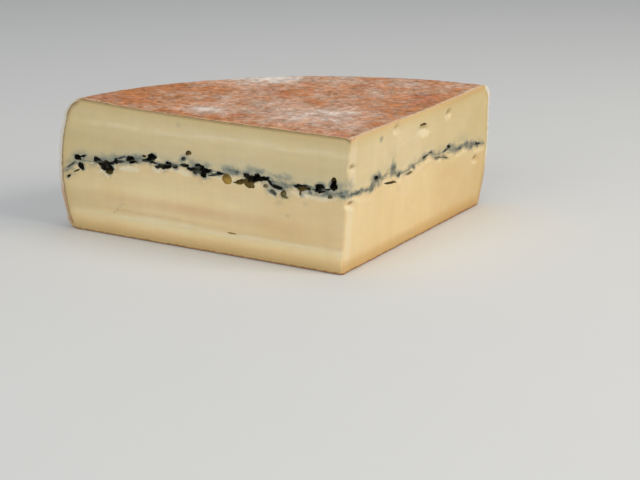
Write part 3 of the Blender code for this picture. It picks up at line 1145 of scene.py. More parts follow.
# Along, height, wide, tall, tilt and strength of each stain
LEFT_STAINS = stains(
    (1.2, 41.8, 9, 3.4, 0, 1.0), (3.2, 44.5, 9, 8, 0, 0.5), (8.2, 41.2, 12, 2.4, 0, 0.9),
    (20.2, 41, 14, 2.2, -3, 0.95), (12, 40.6, 16, 3.4, -4, 0.8), (25.5, 40.0, 6, 4, 0, 0.9),
    (33, 42.4, 14, 2.4, 5, 0.8), (40, 40.6, 16, 4.4, 12, 1.1), (36, 38.6, 7, 5, 40, 1.0),
    (43.5, 38.6, 8, 4.4, 25, 0.95), (34, 47, 8, 4, 0, 0.55), (52, 47.4, 12, 4, 0, 0.7),
    (70, 47, 10, 3, 0, 0.55), (84, 41.6, 10, 4, 0, 0.7), (92, 42, 10, 4, 0, 0.6),
    (98, 46.5, 12, 3, -10, 0.6), (112, 41.5, 12, 4, -10, 0.6), (150, 40, 16, 8, 10, 0.7),
    (150.5, 36.5, 12, 6, 20, 0.6), (168, 39.5, 10, 5, 0, 0.7), (39, 33.4, 5, 5, 50, 0.38),
    (22.5, 34.5, 7, 3, -10, 0.3), (29.2, 43.3, 10, 2.6, 0, 0.6), (32.2, 46.4, 10, 2.4, 10, 0.35),
    (39.2, 46.6, 14, 2.6, 5, 0.6), (38.2, 44.4, 12, 1.4, 0, 0.6), (43.2, 45.2, 8, 2, 20, 0.7),
    (51.2, 47, 10, 3, 0, 0.6), (58.2, 47, 12, 3, 0, 0.4), (66.2, 46.6, 14, 2.6, 0, 0.65),
    (78.2, 42.3, 10, 1.6, -12, 0.5), (86.2, 38.5, 14, 5, 0, 0.25), (95.2, 42.2, 10, 2, 0, 0.4),
    (100.2, 46.6, 12, 3, -20, 0.5), (98.2, 49, 6, 3, -30, 0.7), (111.2, 47.5, 18, 5, 0, 0.3),
    (116.2, 43, 6, 4, 30, 0.4), (120.2, 43, 16, 3, -5, 0.45), (126.2, 44.0, 10, 2.4, -5, 0.55),
    (125.2, 47.5, 8, 2, 20, 0.25), (135.2, 46.6, 14, 1.4, -20, 0.30), (139.2, 44.2, 10, 1.6, -15, 0.55),
    (150.2, 48.5, 5, 3, 0, 0.15), (153.2, 36, 8, 5, 0, 0.2), (161.2, 41, 10, 5, 0, 0.45),
    (163.2, 37.5, 12, 4, 0, 0.35), (170.2, 39, 14, 5, -30, 0.6), (175.2, 35, 10, 3, -45, 0.65),
    (178.2, 32, 6, 5, -60, 0.4), (169.2, 33, 10, 2.5, -25, 0.4), (168.0, 40.0, 16, 8, -20, 0.60),
    (158.0, 41.0, 15, 6, 0, 0.45), (174.0, 35.0, 6, 9, -20, 0.50), (137.5, 18.4, 5, 1.2, 25, 0.34),
    (140.5, 17.6, 5, 1.2, -40, 0.36), (143.5, 14.2, 6, 1.4, -60, 0.40), (101.2, 66.5, 4, 2, 0, 0.45),
    (33.2, 26.5, 4, 3, 0, 0.3), (22.2, 35, 9, 4, -20, 0.22), (36.2, 33, 9, 3, 30, 0.25),
)
RIGHT_STAINS = stains(
    (-1, 43, 8, 4, -15, 1.0), (3, 46, 9, 8, 0, 0.5), (4, 41.8, 8, 3.2, -8, 0.95),
    (12, 41.2, 14, 2.6, -2, 1.05), (20, 40.9, 10, 2.4, 0, 0.8), (26.5, 40.4, 7, 3.6, 20, 1.1),
    (32, 44.8, 12, 4, -8, 1.2), (38.5, 43.4, 8, 2.6, -14, 1.0), (30, 47, 10, 3, 0, 0.4),
    (44, 45, 6, 3, 0, 0.3), (50, 46.2, 7, 5.5, 0, 1.15), (50, 49.5, 2.5, 5, 0, 0.7),
    (53.5, 43, 5, 3, -45, 0.8), (57, 41.5, 8, 3.4, 0, 1.15), (63, 41.4, 8, 3, 0, 0.5),
    (70, 39.8, 14, 2.4, 0, 0.55), (71, 43, 8, 3, 10, 0.6), (75, 42.6, 7, 2, -30, 1.0),
    (80.5, 43.6, 8, 2, 10, 0.6), (88, 45, 9, 3, 5, 1.0), (96, 46.2, 8, 2, -12, 0.9),
    (101, 45, 8, 3, -20, 0.6), (104, 42.2, 10, 2.2, -8, 0.8), (112, 40.6, 12, 2.4, -12, 0.95),
    (118, 39.2, 8, 2, -10, 0.7), (120, 44.2, 8, 4, 0, 1.15), (126, 42.8, 8, 5, 0, 0.9),
    (131, 41.4, 10, 4, 0, 0.85), (138, 41.8, 8, 3, 0, 0.9), (145, 41.2, 10, 4, -10, 1.0),
    (152, 40.4, 10, 4.2, 0, 1.05), (159, 39.6, 8, 2.8, -20, 1.15), (166, 38.4, 12, 3, -5, 0.5),
    (142, 45.5, 12, 4, 0, 0.35), (48.5, 54, 20, 8, 0, 0.22), (58, 34, 8, 4, 0, 0.25),
    (35.0, 65.2, 3.4, 2.4, 0, 0.75), (110, 40.6, 22, 1.8, -11, 0.95), (138, 46.5, 24, 9, 0, 0.30),
    (50, 57, 14, 6, 0, 0.2), (28, 41.5, 8, 5, 20, 0.8), (35, 42, 10, 4, 0, 0.7),
    (51, 43.8, 10, 4, 0, 0.8),
)

# Height of the ash layer at each cut: distance from the point, height
LEFT_LINE = (
    (0, 41.8), (30, 43.1), (64, 45.3), (80, 43.0), (98, 45.0), (110, 43.3), (121, 44.6), (133, 42.8),
    (142, 42.0), (150, 39.6), (166, 39.8), (181, 32),
)
RIGHT_LINE = (
    (0, 42.4), (12, 41.2), (25, 40.6), (37, 44), (51, 45), (58, 41.4), (68, 41.6), (82, 43.6), (93, 45.6),
    (109, 43.0), (119, 43.8), (131, 41.4), (141, 41.8), (152, 40.4), (162, 39.0), (176, 36.8),
)

# Right and away from the point, half the width and length, and strength of each patch on the top
BLOOM = tuple(Patch(*row) for row in (
    (-46, 158, 14, 12, 1.25), (-64, 155, 10, 7, 0.6), (-80, 152, 9, 8, 0.7), (-28, 158, 9, 10, 0.75),
    (-38, 148, 8, 7, 0.55), (-96, 62, 8, 9, -0.5), (-84, 52, 10, 7, -0.45), (-68, 44, 9, 6, -0.45),
    (-54, 34, 9, 6, -0.35), (-46, 27, 7, 5, -0.4), (-34, 20, 8, 5, -0.25), (19, 31, 5, 9, -0.4),
    (-52, 52, 8, 7, -0.3), (-74, 72, 9, 7, 0.25), (-3, 12, 10, 9, -0.2), (-32, 112, 9, 8, -0.2),
    (16, 110, 9, 12, -0.2), (4, 160, 12, 8, 0.3), (-52, 132, 12, 14, 0.42), (-66, 140, 8, 6, 0.3),
    (16, 114, 7, 14, 0.38), (-76, 70, 8, 6, 0.3), (6, 106, 12, 8, 0.2), (44, 144, 12, 8, 0.25),
    (64, 152, 10, 7, 0.2), (-66, 90, 9, 12, 0.3), (-78, 68, 14, 12, 0.62), (-36, 90, 8, 8, 0.35),
    (-26, 60, 24, 20, 0.5), (-2, 60, 14, 16, 0.35), (-30, 44, 12, 12, 0.3), (0, 42, 10, 12, 0.4),
    (8, 70, 8, 10, 0.2), (-12, 26, 12, 8, 0.25), (-112, 98, 30, 26, -0.4), (54, 100, 16, 26, -0.38),
    (36, 76, 12, 16, -0.3), (-28, 114, 9, 12, -0.25), (-16, 92, 7, 6, -0.3), (-92, 130, 16, 12, -0.25),
    (28, 60, 8, 10, -0.2),
))
BLUSH = tuple(Patch(*row) for row in (
    (-34, 112, 9, 8, 0.9), (-20, 92, 11, 4, 0.6), (49, 107, 8, 14, 1.0), (38, 92, 7, 20, 0.7),
    (-61, 57, 11, 7, 0.9), (-132, 90, 12, 12, 0.8), (-114, 90, 6, 5, 0.6), (-4, 8, 10, 12, 0.8),
    (11, 30, 5, 12, 0.6), (-104, 137, 8, 8, 0.4), (70, 137, 6, 8, 0.5), (-89, 117, 10, 12, 0.4),
))


@dataclass(frozen=True)
class Camera:
    """The camera at the photograph's viewing angle."""

    back: tuple[float, float, float] = (-209.3, -713.8, 230.46)  # its place from the foot of the point
    heading: tuple[float, float] = (0.2663, 0.9639)
    pitch: float = 15.896  # degrees down
    roll: float = 0.5564
    lens: float = 85.73

    def place(self, foot: tuple[float, float]) -> bpy.types.Object:
        """Set the camera up and make it the scene's.

        Args:
            foot: the foot of the quarter's point.

        Returns:
            The camera's object.
        """
        ahead = Vector((*self.heading, 0.0)).normalized()
        pitch, roll = radians(self.pitch), radians(self.roll)
        right = Vector((ahead.y, -ahead.x, 0.0))
        forward = ahead * cos(pitch) + Vector((0, 0, -sin(pitch)))
        up = ahead * sin(pitch) + Vector((0, 0, cos(pitch)))
        across = right * cos(roll) + up * sin(roll)
        upward = up * cos(roll) - right * sin(roll)
        turned = Matrix((across, upward, -forward)).transposed().to_4x4()
        data = bpy.data.cameras.new("camera")
        data.lens = self.lens
        data.sensor_width = 36.0
        data.clip_end = 100.0
        made = bpy.data.objects.new("camera", data)
        made.matrix_world = Matrix.Translation((Vector((*foot, 0.0)) + Vector(self.back)) * MM) @ turned
        bpy.context.scene.collection.objects.link(made)
        bpy.context.scene.camera = made
        return made

    def on_top(self, patch: Patch, foot: tuple[float, float]) -> np.ndarray:
        """The place of a patch in the model's frame."""
        ahead = np.array(self.heading)
        right = np.array([ahead[1], -ahead[0]])
        return np.array(foot) + right * patch.right + ahead * patch.away


@dataclass
class Cutters:
    """The shapes that are taken away from the wheel: beyond the cuts, the holes and the ash slot."""

    wheel: Wheel
    cuts: tuple[Cut, Cut]
    ash: AshLine
    pole: np.ndarray  # where the fans start, a little outside the point
    spread: tuple[float, float] = (45.0, 135.0)
    fine_step: float = 0.95
    beyond: float = 26.0
    made: list = field(default_factory=list)

    def knife(self, cut: Cut) -> bpy.types.Object:
        """A block that fills everything beyond a cut, with the cut's fine relief on its face."""
        reach = self.wheel.radius + 4.0
        along = np.concatenate([
            [-self.beyond, -16.0, -9.0, -6.0], np.arange(-4.6, 4.6, 0.55),
            np.arange(5.0, reach, self.fine_step), np.linspace(reach + 2.0, reach + self.beyond, 3)])
        heights = np.concatenate([
            [-8.0, -4.0], np.arange(-1.0, 29.5, 1.4), np.arange(30.0, 53.6, 0.6),
            np.arange(54.5, 78.0, 1.4), [84.0, 90.0]])
        draft = Draft()
        rows = []
        back = np.stack([along, np.full_like(along, self.beyond), np.full_like(along, heights[0])], 1)
        rows.append(draft.row(cut.to_world(back)))
        for height in heights:
            level = np.full_like(along, height)
            relief = cut.relief(along, level, self.wheel)
            rows.append(draft.row(cut.to_world(np.stack([along, relief, level], 1))))
        back[:, 2] = heights[-1]
        rows.append(draft.row(cut.to_world(back)))
        for first, second in zip(rows, rows[1:] + rows[:1]):
            draft.stitch(first, second)
        for end in (0, -1):
            loop = [row[end] for row in rows]
            centre = cut.to_world(np.array([[along[end], self.beyond / 2, heights.mean()]]))[0]
            draft.fan(loop, centre)
        return self.keep(draft.to_object(cut.name + " knife", PASTE))

    def sheet(self, name: str, shrink: float, cover: float) -> bpy.types.Object:
        """A wavy sheet along the ash layer, from outside the point to the cover left at the rind.

        Args:
            name: the object's name.
            shrink: how much thinner than the layer the sheet is.
            cover: the paste and rind that close over its outer edge.

        Returns:
            The closed sheet.
        """
        low, high = self.spread
        inward = np.array([0.0, 4.0, 9.0, 16.0, 26.0])
        turns = np.radians(np.concatenate([low + inward, [(low + high) / 2], (high - inward)[::-1]]))
        rays = np.stack([np.cos(turns), np.sin(turns)], 1)
        reach = self.reach(rays, self.wheel.radius - cover)
        draft = Draft()
        rings = []
        steps = 116
        for i in range(steps + 1):
            places = self.pole + rays * (2.0 + (reach - 2.0) * i / steps)[:, None]
            flat = np.concatenate([places, np.zeros((len(places), 1))], 1)
            middle = self.ash.height(flat)
            half = (self.ash.thickness(flat) - shrink) / 2
            upper = np.concatenate([places, (middle + half)[:, None]], 1)
            lower = np.concatenate([places, (middle - half)[:, None]], 1)
            rings.append(draft.row(np.concatenate([upper, lower[::-1]])))
        for first, second in zip(rings, rings[1:]):
            draft.stitch(first, second, closed=True)
        count = len(rays)
        for ring in (rings[0], rings[-1]):
            draft.stitch(ring[:count], ring[count:][::-1])
        return draft.to_object(name, PASTE)

    def reach(self, rays: np.ndarray, radius: float) -> np.ndarray:
        """How far each ray from the pole runs to a circle round the wheel's axis."""
        offset = np.array(self.wheel.axis) - self.pole
        ahead = rays @ offset
        return ahead + np.sqrt(radius**2 - offset @ offset + ahead**2)

    def lobe(self, cut: Cut, lobe: Lobe, number: int) -> bpy.types.Object:
        """A rounded, uneven cutter for one lobe of a hole."""
        bm = bmesh.new()
        large = max(lobe.wide, lobe.tall) > 5.5
        bmesh.ops.create_icosphere(bm, subdivisions=4 if large else 3, radius=1.0)
        unit = np.array([v.co for v in bm.verts])
        grow = 1.12 if lobe.tone is Tone.BLACK else 1.0
        sizes = np.array([grow * lobe.wide / 2, lobe.half_deep, grow * lobe.tall / 2])
        smooth = {Tone.GOLD: 0.3, Tone.OLIVE: 0.45, Tone.BROWN: 0.55}.get(lobe.tone, 1.0)
        rough = 0.40 * noise_at(unit * sizes, 2.2, number) + 0.26 * noise_at(unit * sizes, 0.9, number)
        uneven = 1 + smooth * rough
        turn = radians(lobe.tilt)
        shape = unit * sizes * uneven[:, None]
        tilted = shape.copy()
        tilted[:, 0] = shape[:, 0] * cos(turn) - shape[:, 2] * sin(turn)
        tilted[:, 2] = shape[:, 0] * sin(turn) + shape[:, 2] * cos(turn)
        world = cut.to_world(tilted + (lobe.along, -lobe.sunk, lobe.height))
        for vert, place in zip(bm.verts, world):
            vert.co = Vector(place) * MM
        bm.normal_update()
        bmesh.ops.recalc_face_normals(bm, faces=bm.faces)
        for face in bm.faces:
            face.material_index = HOLLOW
        mesh = bpy.data.meshes.new("lobe")
        bm.to_mesh(mesh)
        bm.free()
        return bpy.data.objects.new("lobe", mesh)

    def all_lobes(self, cut: Cut) -> tuple[Lobe, ...]:
        """The holes of a cut, without the soft dents."""
        return tuple(lobe for lobe in cut.lobes if lobe.tone is not Tone.CLEAN)

    def holes(self) -> list[bpy.types.Collection]:
        """The lobes of both cuts, in collections within which no two of them touch."""
        groups: list[list] = []
        for cut in self.cuts:
            for number, lobe in enumerate(self.all_lobes(cut)):
                middle = cut.to_world(np.array([[lobe.along, -lobe.sunk, lobe.height]]))[0]
                reach = 0.65 * max(lobe.wide, lobe.tall, 1.6 * lobe.deep)
                free = [g for g in groups if all(np.linalg.norm(middle - m) > reach + r for m, r, _ in g)]
                if not free:
                    free = [[]]
                    groups.append(free[0])
                free[0].append((middle, reach, self.lobe(cut, lobe, number + 100 * cut.seed)))
        for number, group in enumerate(groups):
            made = bpy.data.collections.new(f"holes {number}")
            bpy.context.scene.collection.children.link(made)
            for _, _, cutter in group:
                made.objects.link(cutter)
            self.made.append(made)
        return self.made[-len(groups):]

    def keep(self, cutter: bpy.types.Object) -> bpy.types.Object:
        """Remember a cutter, so that it can be cleared away."""
        self.made.append(cutter)
        return cutter

    def clear(self) -> None:
        """Remove every cutter."""
        for item in self.made:
            if isinstance(item, bpy.types.Collection):
                for cutter in list(item.objects):
                    bpy.data.objects.remove(cutter, do_unlink=True)
                bpy.data.collections.remove(item)
            else:
                bpy.data.objects.remove(item, do_unlink=True)


@dataclass
class CheeseBody:
    """Paste and rind: the wheel's form, cut, slotted for the ash and opened by the holes."""

    wheel: Wheel
    cutters: Cutters
    camera: Camera
    rays: int = 224
    row_step: float = 1.25
    base_step: float = 4.0
    rind_relief: tuple = ((40.0, 0.55), (9.0, 0.42), (2.8, 0.28))  # pitch and depth
    fold_pitch: float = 4.6  # of the folds in the rind at the right end
    fold_depth: float = 3.1
    stand_out: float = 0.45  # of the side, which the sinking has left too small
    stand_out_left: float = 0.9  # and as much more at the left end
    rind_cover: float = 5.3

    def roughen(self, points: np.ndarray, outward: np.ndarray) -> np.ndarray:
        """Sink the skin unevenly below its true form, except on the base.

        Args:
            points: places on the skin.
            outward: the direction out of the cheese at each place.

        Returns:
            The moved places.
        """
        sink = np.zeros(len(points))
        for seed, (pitch, depth) in enumerate(self.rind_relief):
            sink += depth * (0.5 + 0.5 * noise_at(points, pitch, seed + 20))
        turn = np.degrees(np.arctan2(points[:, 1] - self.wheel.axis[1], points[:, 0] - self.wheel.axis[0]))
        z = points[:, 2]
        window = smooth_step(turn, 59.0, 53.0) * smooth_step(z, 36.0, 40.0) * smooth_step(z, 66.0, 62.0)
        wave = 0.5 + 0.5 * np.cos(2 * pi * z / self.fold_pitch + 2.4 * noise_at(points, 10.0, 24))
        sink += self.fold_depth * window * wave * (0.7 + 0.9 * noise_at(points, 8.0, 25))
        sink *= smooth_step(z, 0.0, 2.5)
        leftward = np.clip((self.wheel.axis[0] - points[:, 0]) / self.wheel.radius, 0, 1)
        sink -= (self.stand_out + self.stand_out_left * leftward) * np.linalg.norm(outward[:, :2], axis=1)
        moved = points - outward * sink[:, None]
        moved[:, 2] = np.maximum(moved[:, 2], 0.0)
        return moved

    def loaf(self) -> bpy.types.Object:
        """The wheel's form over a little more than the quarter, as a fan of rows round the pole."""
        wheel, cutters = self.wheel, self.cutters
        low, high = cutters.spread
        turns = np.radians(np.linspace(high, low, self.rays + 1))
        rays = np.stack([np.cos(turns), np.sin(turns)], 1)
        axis = np.array(wheel.axis)
        crown = cutters.reach(rays, wheel.crown_radius)
        edge = cutters.pole + rays * crown[:, None]
        radial = (edge - axis) / wheel.crown_radius
        draft = Draft()
        rows = []
        count = round(crown.max() / self.row_step)
        for k in range(1, count):
            thin = self.thinning(k * self.row_step)
            places = cutters.pole + (rays * crown[:, None] * k / count)[::thin]
            out = np.linalg.norm(places - axis, axis=1)
            level = np.concatenate([places, wheel.top_height(out)[:, None]], 1)
            rows.append(draft.row(wheel.settle(self.roughen(level, np.array([[0.0, 0.0, 1.0]])))))
        section, outward = wheel.rim_section(self.row_step)
        for (out, height), (push, rise) in zip(section, outward):
            places = axis + radial * out
            level = np.concatenate([places, np.full((len(places), 1), height)], 1)
            away = np.concatenate([radial * push, np.full((len(places), 1), rise)], 1)
            rows.append(draft.row(wheel.settle(self.roughen(level, away))))
        foot = axis + radial * wheel.foot_radius
        count = round(np.linalg.norm(foot - cutters.pole, axis=1).max() / self.base_step)
        for k in range(count - 1, 0, -1):
            thin = self.thinning(k * self.base_step)
            places = (cutters.pole + (foot - cutters.pole) * k / count)[::thin]
            rows.append(draft.row(wheel.settle(np.concatenate([places, np.zeros((len(places), 1))], 1))))
        for first, second in zip(rows, rows[1:]):
            if len(first) > len(second):
                draft.stitch(second, first)
            else:
                draft.stitch(first, second)
        out = np.linalg.norm(cutters.pole - axis)
        tops = draft.row([[*cutters.pole, float(wheel.top_height(out))]])
        foots = draft.row([[*cutters.pole, 0.0]])
        for pole, row in ((tops[0], rows[0]), (foots[0], rows[-1])):
            for a, b in zip(row, row[1:]):
                draft.faces.append((pole, a, b))
        for end in (0, -1):
            loop = tops + [row[end] for row in rows] + foots
            middle = (cutters.pole + edge[end]) / 2
            draft.fan(loop, np.array([*middle, wheel.rim_height / 2]))
        return draft.to_object("morbier_body", RIND)

    def thinning(self, out: float) -> int:
        """Of how many rays only one is used at a distance from the pole."""
        for limit, thin in ((22.0, 8), (45.0, 4), (90.0, 2)):
            if out < limit:
                return thin
        return 1

    def shaded_lining(self, points: np.ndarray) -> tuple[np.ndarray, np.ndarray, np.ndarray]:
        """The colour of the nearest hole's wall, with painted shade on its upper part and painted light on
        its lower part, and the soot and the pale crumbs round that hole.

        Args:
            points: places in millimetres.

        Returns:
            A colour and two numbers for each point.
        """
        weights = np.full(len(points), 1e-12)
        colour = np.zeros((len(points), 3))
        soot = np.zeros(len(points))
        crumbs = np.zeros(len(points))
        clumps = noise_at(points, 2.8, 50)
        for cut in self.cutters.cuts:
            local = cut.to_local(points)
            for lobe in self.cutters.all_lobes(cut):
                across, up = turned(lobe, local[:, 0], local[:, 2])
                u, w = across / (lobe.wide / 2), up / (lobe.tall / 2)
                v = (local[:, 1] + lobe.sunk) / lobe.half_deep
                gap = np.sqrt(u * u + v * v + w * w)
                weight = np.exp(-6.0 * np.clip(gap, 0.9, 4.0))
                weights += weight
                # painted shade and light: each lobe's wall is darker above and lighter below
                lit = 0.45 + 0.75 * smooth_step(w, 0.7, -0.8)
                colour += np.array(lobe.tone.value) * (lit * weight)[:, None]
                if lobe.tone in (Tone.BLACK, Tone.SOOT, Tone.GREY):
                    rim = np.sqrt(u * u + w * w)
                    flat = np.exp(-((local[:, 1] / 1.5) ** 2))
                    size = (lobe.wide + lobe.tall) / 4
                    beyond = (rim - 1) * size
                    soot = np.maximum(soot, flat * smooth_step(beyond, 2.8, -0.6))
                    under = smooth_step(w, 0.3, -0.7)
                    crumbs = np.maximum(crumbs, flat * under * np.exp(-(((beyond - 1.9) / 1.1) ** 2)))
        colour /= weights[:, None]
        return colour, soot * (0.85 + 0.9 * clumps), crumbs * smooth_step(clumps, -0.10, 0.30)

    def stain(self, points: np.ndarray) -> np.ndarray:
        """How much ash has stained the paste."""
        total = np.zeros(len(points))
        for cut in self.cutters.cuts:
            local = cut.to_local(points)
            flat = local * (1, 0, 1)
            along = local[:, 0] + 1.5 * noise_at(flat, 5.0, cut.seed + 30)
            along = along + noise_at(flat, 1.9, cut.seed + 34)
            height = local[:, 2] + 0.9 * noise_at(flat, 4.0, cut.seed + 31)
            height = height + 0.8 * noise_at(flat, 1.7, cut.seed + 35)
            near = np.exp(-((local[:, 1] / 4.0) ** 2))
            above = height - smooth_line(cut.line, along)
            clouds = smooth_step(noise_at(flat / (1.7, 1, 1), 6.0, cut.seed + 32), -0.25, 0.45)
            haze = cut.haze * (0.25 + 0.75 * clouds) * np.exp(-(((above - 1.2) / 4.0) ** 2))
            uneven = 0.60 + 0.80 * noise_at(flat, 3.4, cut.seed + 33)
            film = cut.film * np.exp(-((above / cut.film_half) ** 2)) * uneven
            total = np.maximum(total, near * np.maximum(haze, film))
            for stain in cut.stains:
                across, up = turned(stain, along, height)
                u, w = across / (stain.wide / 2), up / (stain.tall * 0.62)
                total = np.maximum(total, near * stain.strength * np.exp(-(u * u + w * w) * 0.8))
        return total

    def curd(self, points: np.ndarray) -> tuple[np.ndarray, np.ndarray]:
        """Where the curd is pale below the ash line, where the lower lips of the clean eyes get a painted
        highlight, and where painted shade lies inside the eyes.

        Args:
            points: places in millimetres.

        Returns:
            Two numbers for each point.
        """
        total = np.zeros(len(points))
        warm = np.zeros(len(points))
        for cut in self.cutters.cuts:
            local = cut.to_local(points)
            flat = local * (1, 0, 1)
            along, height = local[:, 0], local[:, 2]
            near = np.exp(-((local[:, 1] / 4.0) ** 2))
            below = smooth_line(cut.line, along) - height
            clouds = smooth_step(noise_at(flat / (1.8, 1, 1), 5.0, cut.seed + 40), -0.30, 0.35)
            belt = cut.crumbs * np.exp(-(((below - 3.6) / 2.6) ** 2)) * clouds
            for lobe in cut.lobes:
                if lobe.tone is Tone.CLEAN:
                    across, up = turned(lobe, along, height)
                    u, w = across / (lobe.wide * 0.55), up / lobe.tall
                    # painted highlight on the lower lip of each clean eye, and painted shade in its upper
                    # part
                    lip = 0.75 * lobe.deep**1.6 * (0.8 + 0.6 * noise_at(flat, 3.0, cut.seed + 41))
                    belt = np.maximum(belt, lip * np.exp(-(u * u + ((w + 0.22) / 0.40) ** 2)))
                    size = (0.62, 0.16, 0.30) if lobe.deep > 1.45 else (0.46, 0.28, 0.36)
                    spot = np.exp(-(((u / size[0]) ** 2 + ((w - size[2]) / size[1]) ** 2) ** 1.5))
                    warm = np.maximum(warm, 1.1 * near * spot)
            total = np.maximum(total, near * belt)
        return total, warm

    def patches(self, points: np.ndarray, table: tuple[Patch, ...]) -> np.ndarray:
        """The sum of the patches of a table at places on the top."""
        total = np.zeros(len(points))
        ahead = np.array(self.camera.heading)
        right = np.array([ahead[1], -ahead[0]])
        for patch in table:
            off = points[:, :2] - self.camera.on_top(patch, self.cutters.ash.foot)
            u, w = off @ right / patch.wide, off @ ahead / patch.long
            total += patch.strength * np.exp(-(u * u + w * w))
        return total

    def store(self, mesh: bpy.types.Mesh) -> None:
        """Store on the mesh what the finishes read."""
        points = vertex_places(mesh)
        wheel = self.wheel
        flat = wheel.settle(points, back=True)
        out = np.hypot(flat[:, 0] - wheel.axis[0], flat[:, 1] - wheel.axis[1])
        shoulder = np.degrees(np.arctan2(flat[:, 2] - wheel.shoulder_at, out - wheel.crown_radius))
        foot = np.degrees(np.arctan2(wheel.base_edge - flat[:, 2], out - wheel.foot_radius))
        wall = smooth_step(shoulder, 88.0, 66.0) * smooth_step(foot, 60.0, 36.0)
        colour, soot, crumbs = self.shaded_lining(points)
        stain = np.maximum(self.stain(points), 0.92 * soot)
        inward = np.array([-cut.to_local(points)[:, 1] for cut in self.cutters.cuts])
        pale, warm = self.curd(points)
        fringe = np.maximum(0.85 * smooth_step(inward[0], 2.6, 0.6), smooth_step(inward[1], 4.2, 0.8))
        stored = {
            "depth": wheel.skin_depth(points),
            "vein": points[:, 2] - self.cutters.ash.height(points),
            "wall": wall,
            "stain": stain,
            "pale": np.maximum(pale, 0.9 * crumbs),
            "warm": warm,
            "shaded_lining": colour,
            "fringe": fringe,
            "left": smooth_step(inward[1] - inward[0], -0.4, 0.4),
            "bloom": self.patches(points, BLOOM),
            "blush": self.patches(points, BLUSH),
        }
        for name, values in stored.items():
            set_values(mesh, name, values)

    def build(self, knives: list, holes: list) -> bpy.types.Object:
        """Make the body and dress it.

        Args:
            knives: what lies beyond the cuts.
            holes: the lobes of the holes.

        Returns:
            The finished body.
        """
        body = self.loaf()
        for slot in range(3):
            body.data.materials.append(None)
        for knife in knives:
            carve(body, knife)
        carve(body, self.cutters.keep(self.cutters.sheet("slot", 0.0, self.rind_cover)))
        for group in holes:
            carve(body, group)
        self.store(body.data)
        foot = self.cutters.ash.foot
        finishes = (RindFinish(self.wheel.axis, self.wheel.radius), PasteFinish(foot), HollowFinish())
        for slot, finish in enumerate(finishes):
            body.data.materials[slot] = finish.make()
        body.data.shade_smooth()
        body.data.set_sharp_from_angle(angle=radians(38))
        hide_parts("cheese_body")
        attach(body, "root")
        return body


@dataclass
class AshLayer:
    """The ash that lies in the slot and shows at both cuts."""

    cutters: Cutters
    clearance: float = 0.05
    rind_cover: float = 5.6

    def build(self, knives: list, holes: list) -> bpy.types.Object:
        """Make the layer and dress it.

        Args:
            knives: what lies beyond the cuts.
            holes: the lobes of the holes.

        Returns:
            The finished layer.
        """
        ash = self.cutters.sheet("morbier_ash", self.clearance, self.rind_cover)
        for cutter in (*knives, *holes):
            carve(ash, cutter)
        points = vertex_places(ash.data)
        line = self.cutters.ash
        dense = (line.thickness(points) - line.thin) / (line.thick - line.thin)
        on_right = smooth_step(points[:, 0] - line.foot[0], -2.0, 8.0)
        set_values(ash.data, "dense", np.clip(dense, 0, 1) - 0.30 * on_right)
        ash.data.materials.clear()
        ash.data.materials.append(AshFinish().make())
        for face in ash.data.polygons:
            face.material_index = 0
        ash.data.shade_smooth()
        ash.data.set_sharp_from_angle(angle=radians(40))
        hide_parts("ash_layer")
        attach(ash, "root")
        return ash


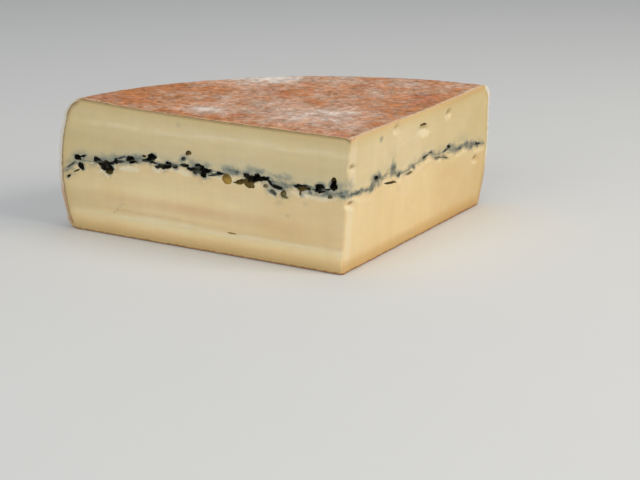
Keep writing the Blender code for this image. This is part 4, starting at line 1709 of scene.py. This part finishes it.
@dataclass
class Studio:
    """The floor, the soft lights and the pale surroundings."""

    floor_size: float = 9000.0
    key: float = 13.0
    fill: float = 6.8
    top: float = 3.5
    air: float = 0.32

    def floor(self) -> bpy.types.Object:
        """A wide floor under the base."""
        draft = Draft()
        half = self.floor_size / 2
        steps = np.linspace(-half, half, 5)
        rows = [draft.row([(x, y, 0.0) for x in steps]) for y in steps]
        for first, second in zip(rows, rows[1:]):
            draft.stitch(second, first)
        made = draft.to_object("floor")
        made.location.z = -0.0003
        made.data.materials.append(FloorFinish().make())
        return made

    def light(self, name: str, place: Colour, size: float, power: float, colour: Colour) -> None:
        """A square area light that faces the cheese.

        Args:
            name: the light's name.
            place: where it hangs, in metres.
            size: the length of its sides in metres.
            power: its power in watts.
            colour: its colour.
        """
        data = bpy.data.lights.new(name, "AREA")
        data.size = size
        data.energy = power
        data.color = colour
        made = bpy.data.objects.new(name, data)
        made.location = place
        made.rotation_euler = (Vector((0, 0, 0.03)) - Vector(place)).to_track_quat("-Z", "Y").to_euler()
        bpy.context.scene.collection.objects.link(made)

    def build(self) -> None:
        """Set up the floor, the lights and the world."""
        self.floor()
        self.light("key", (1.10, -0.85, 0.95), 0.8, self.key, (1.0, 0.925, 0.82))
        self.light("fill", (-1.00, -1.10, 0.70), 1.2, self.fill, (0.95, 0.98, 1.0))
        self.light("top", (0.0, 0.25, 1.40), 1.0, self.top, (1.0, 0.99, 0.97))
        world = bpy.data.worlds.new("studio")
        world.use_nodes = True
        back = world.node_tree.nodes["Background"]
        back.inputs["Color"].default_value = (0.90, 0.95, 1.0, 1.0)
        back.inputs["Strength"].default_value = self.air
        bpy.context.scene.world = world
        bpy.context.scene.view_settings.view_transform = "Standard"


def point_of_quarter() -> tuple[float, float]:
    """The foot of the edge where the two cuts meet, read from the fixed frame, in millimetres."""
    verts = frame["nodes"]["cheese_body"].data.vertices
    foot = min((v.co for v in verts if v.co.z < 0.01 * MM), key=lambda co: co.y)
    return foot.x / MM, foot.y / MM


def main() -> None:
    """Build the quarter and the studio."""
    logging.basicConfig(level=logging.INFO, format="%(name)s: %(message)s")
    foot = point_of_quarter()
    wheel = Wheel(axis=(foot[0] - 4.5, foot[1]))
    left = Cut("left", foot, 135.0, -1.4, 1, 2.55, LEFT_LINE, LEFT_LOBES, LEFT_STAINS, seed=1)
    right = Cut("right", foot, 45.0, 2.55, -1, -1.4, RIGHT_LINE, RIGHT_LOBES, RIGHT_STAINS, seed=2,
                haze=0.38, film=0.70, film_half=2.5, crumbs=0.7)
    ash = AshLine(foot, left, right)
    cutters = Cutters(wheel, (left, right), ash, np.array([foot[0], foot[1] - 14.0]))
    camera = Camera()
    camera.place(foot)
    knives = [cutters.knife(cut) for cut in cutters.cuts]
    holes = cutters.holes()
    body = CheeseBody(wheel, cutters, camera).build(knives, holes)
    LOG.info("%s: %d faces", body.name, len(body.data.polygons))
    layer = AshLayer(cutters).build(knives, holes)
    LOG.info("%s: %d faces", layer.name, len(layer.data.polygons))
    cutters.clear()
    Studio().build()


if __name__ == "__main__":
    main()
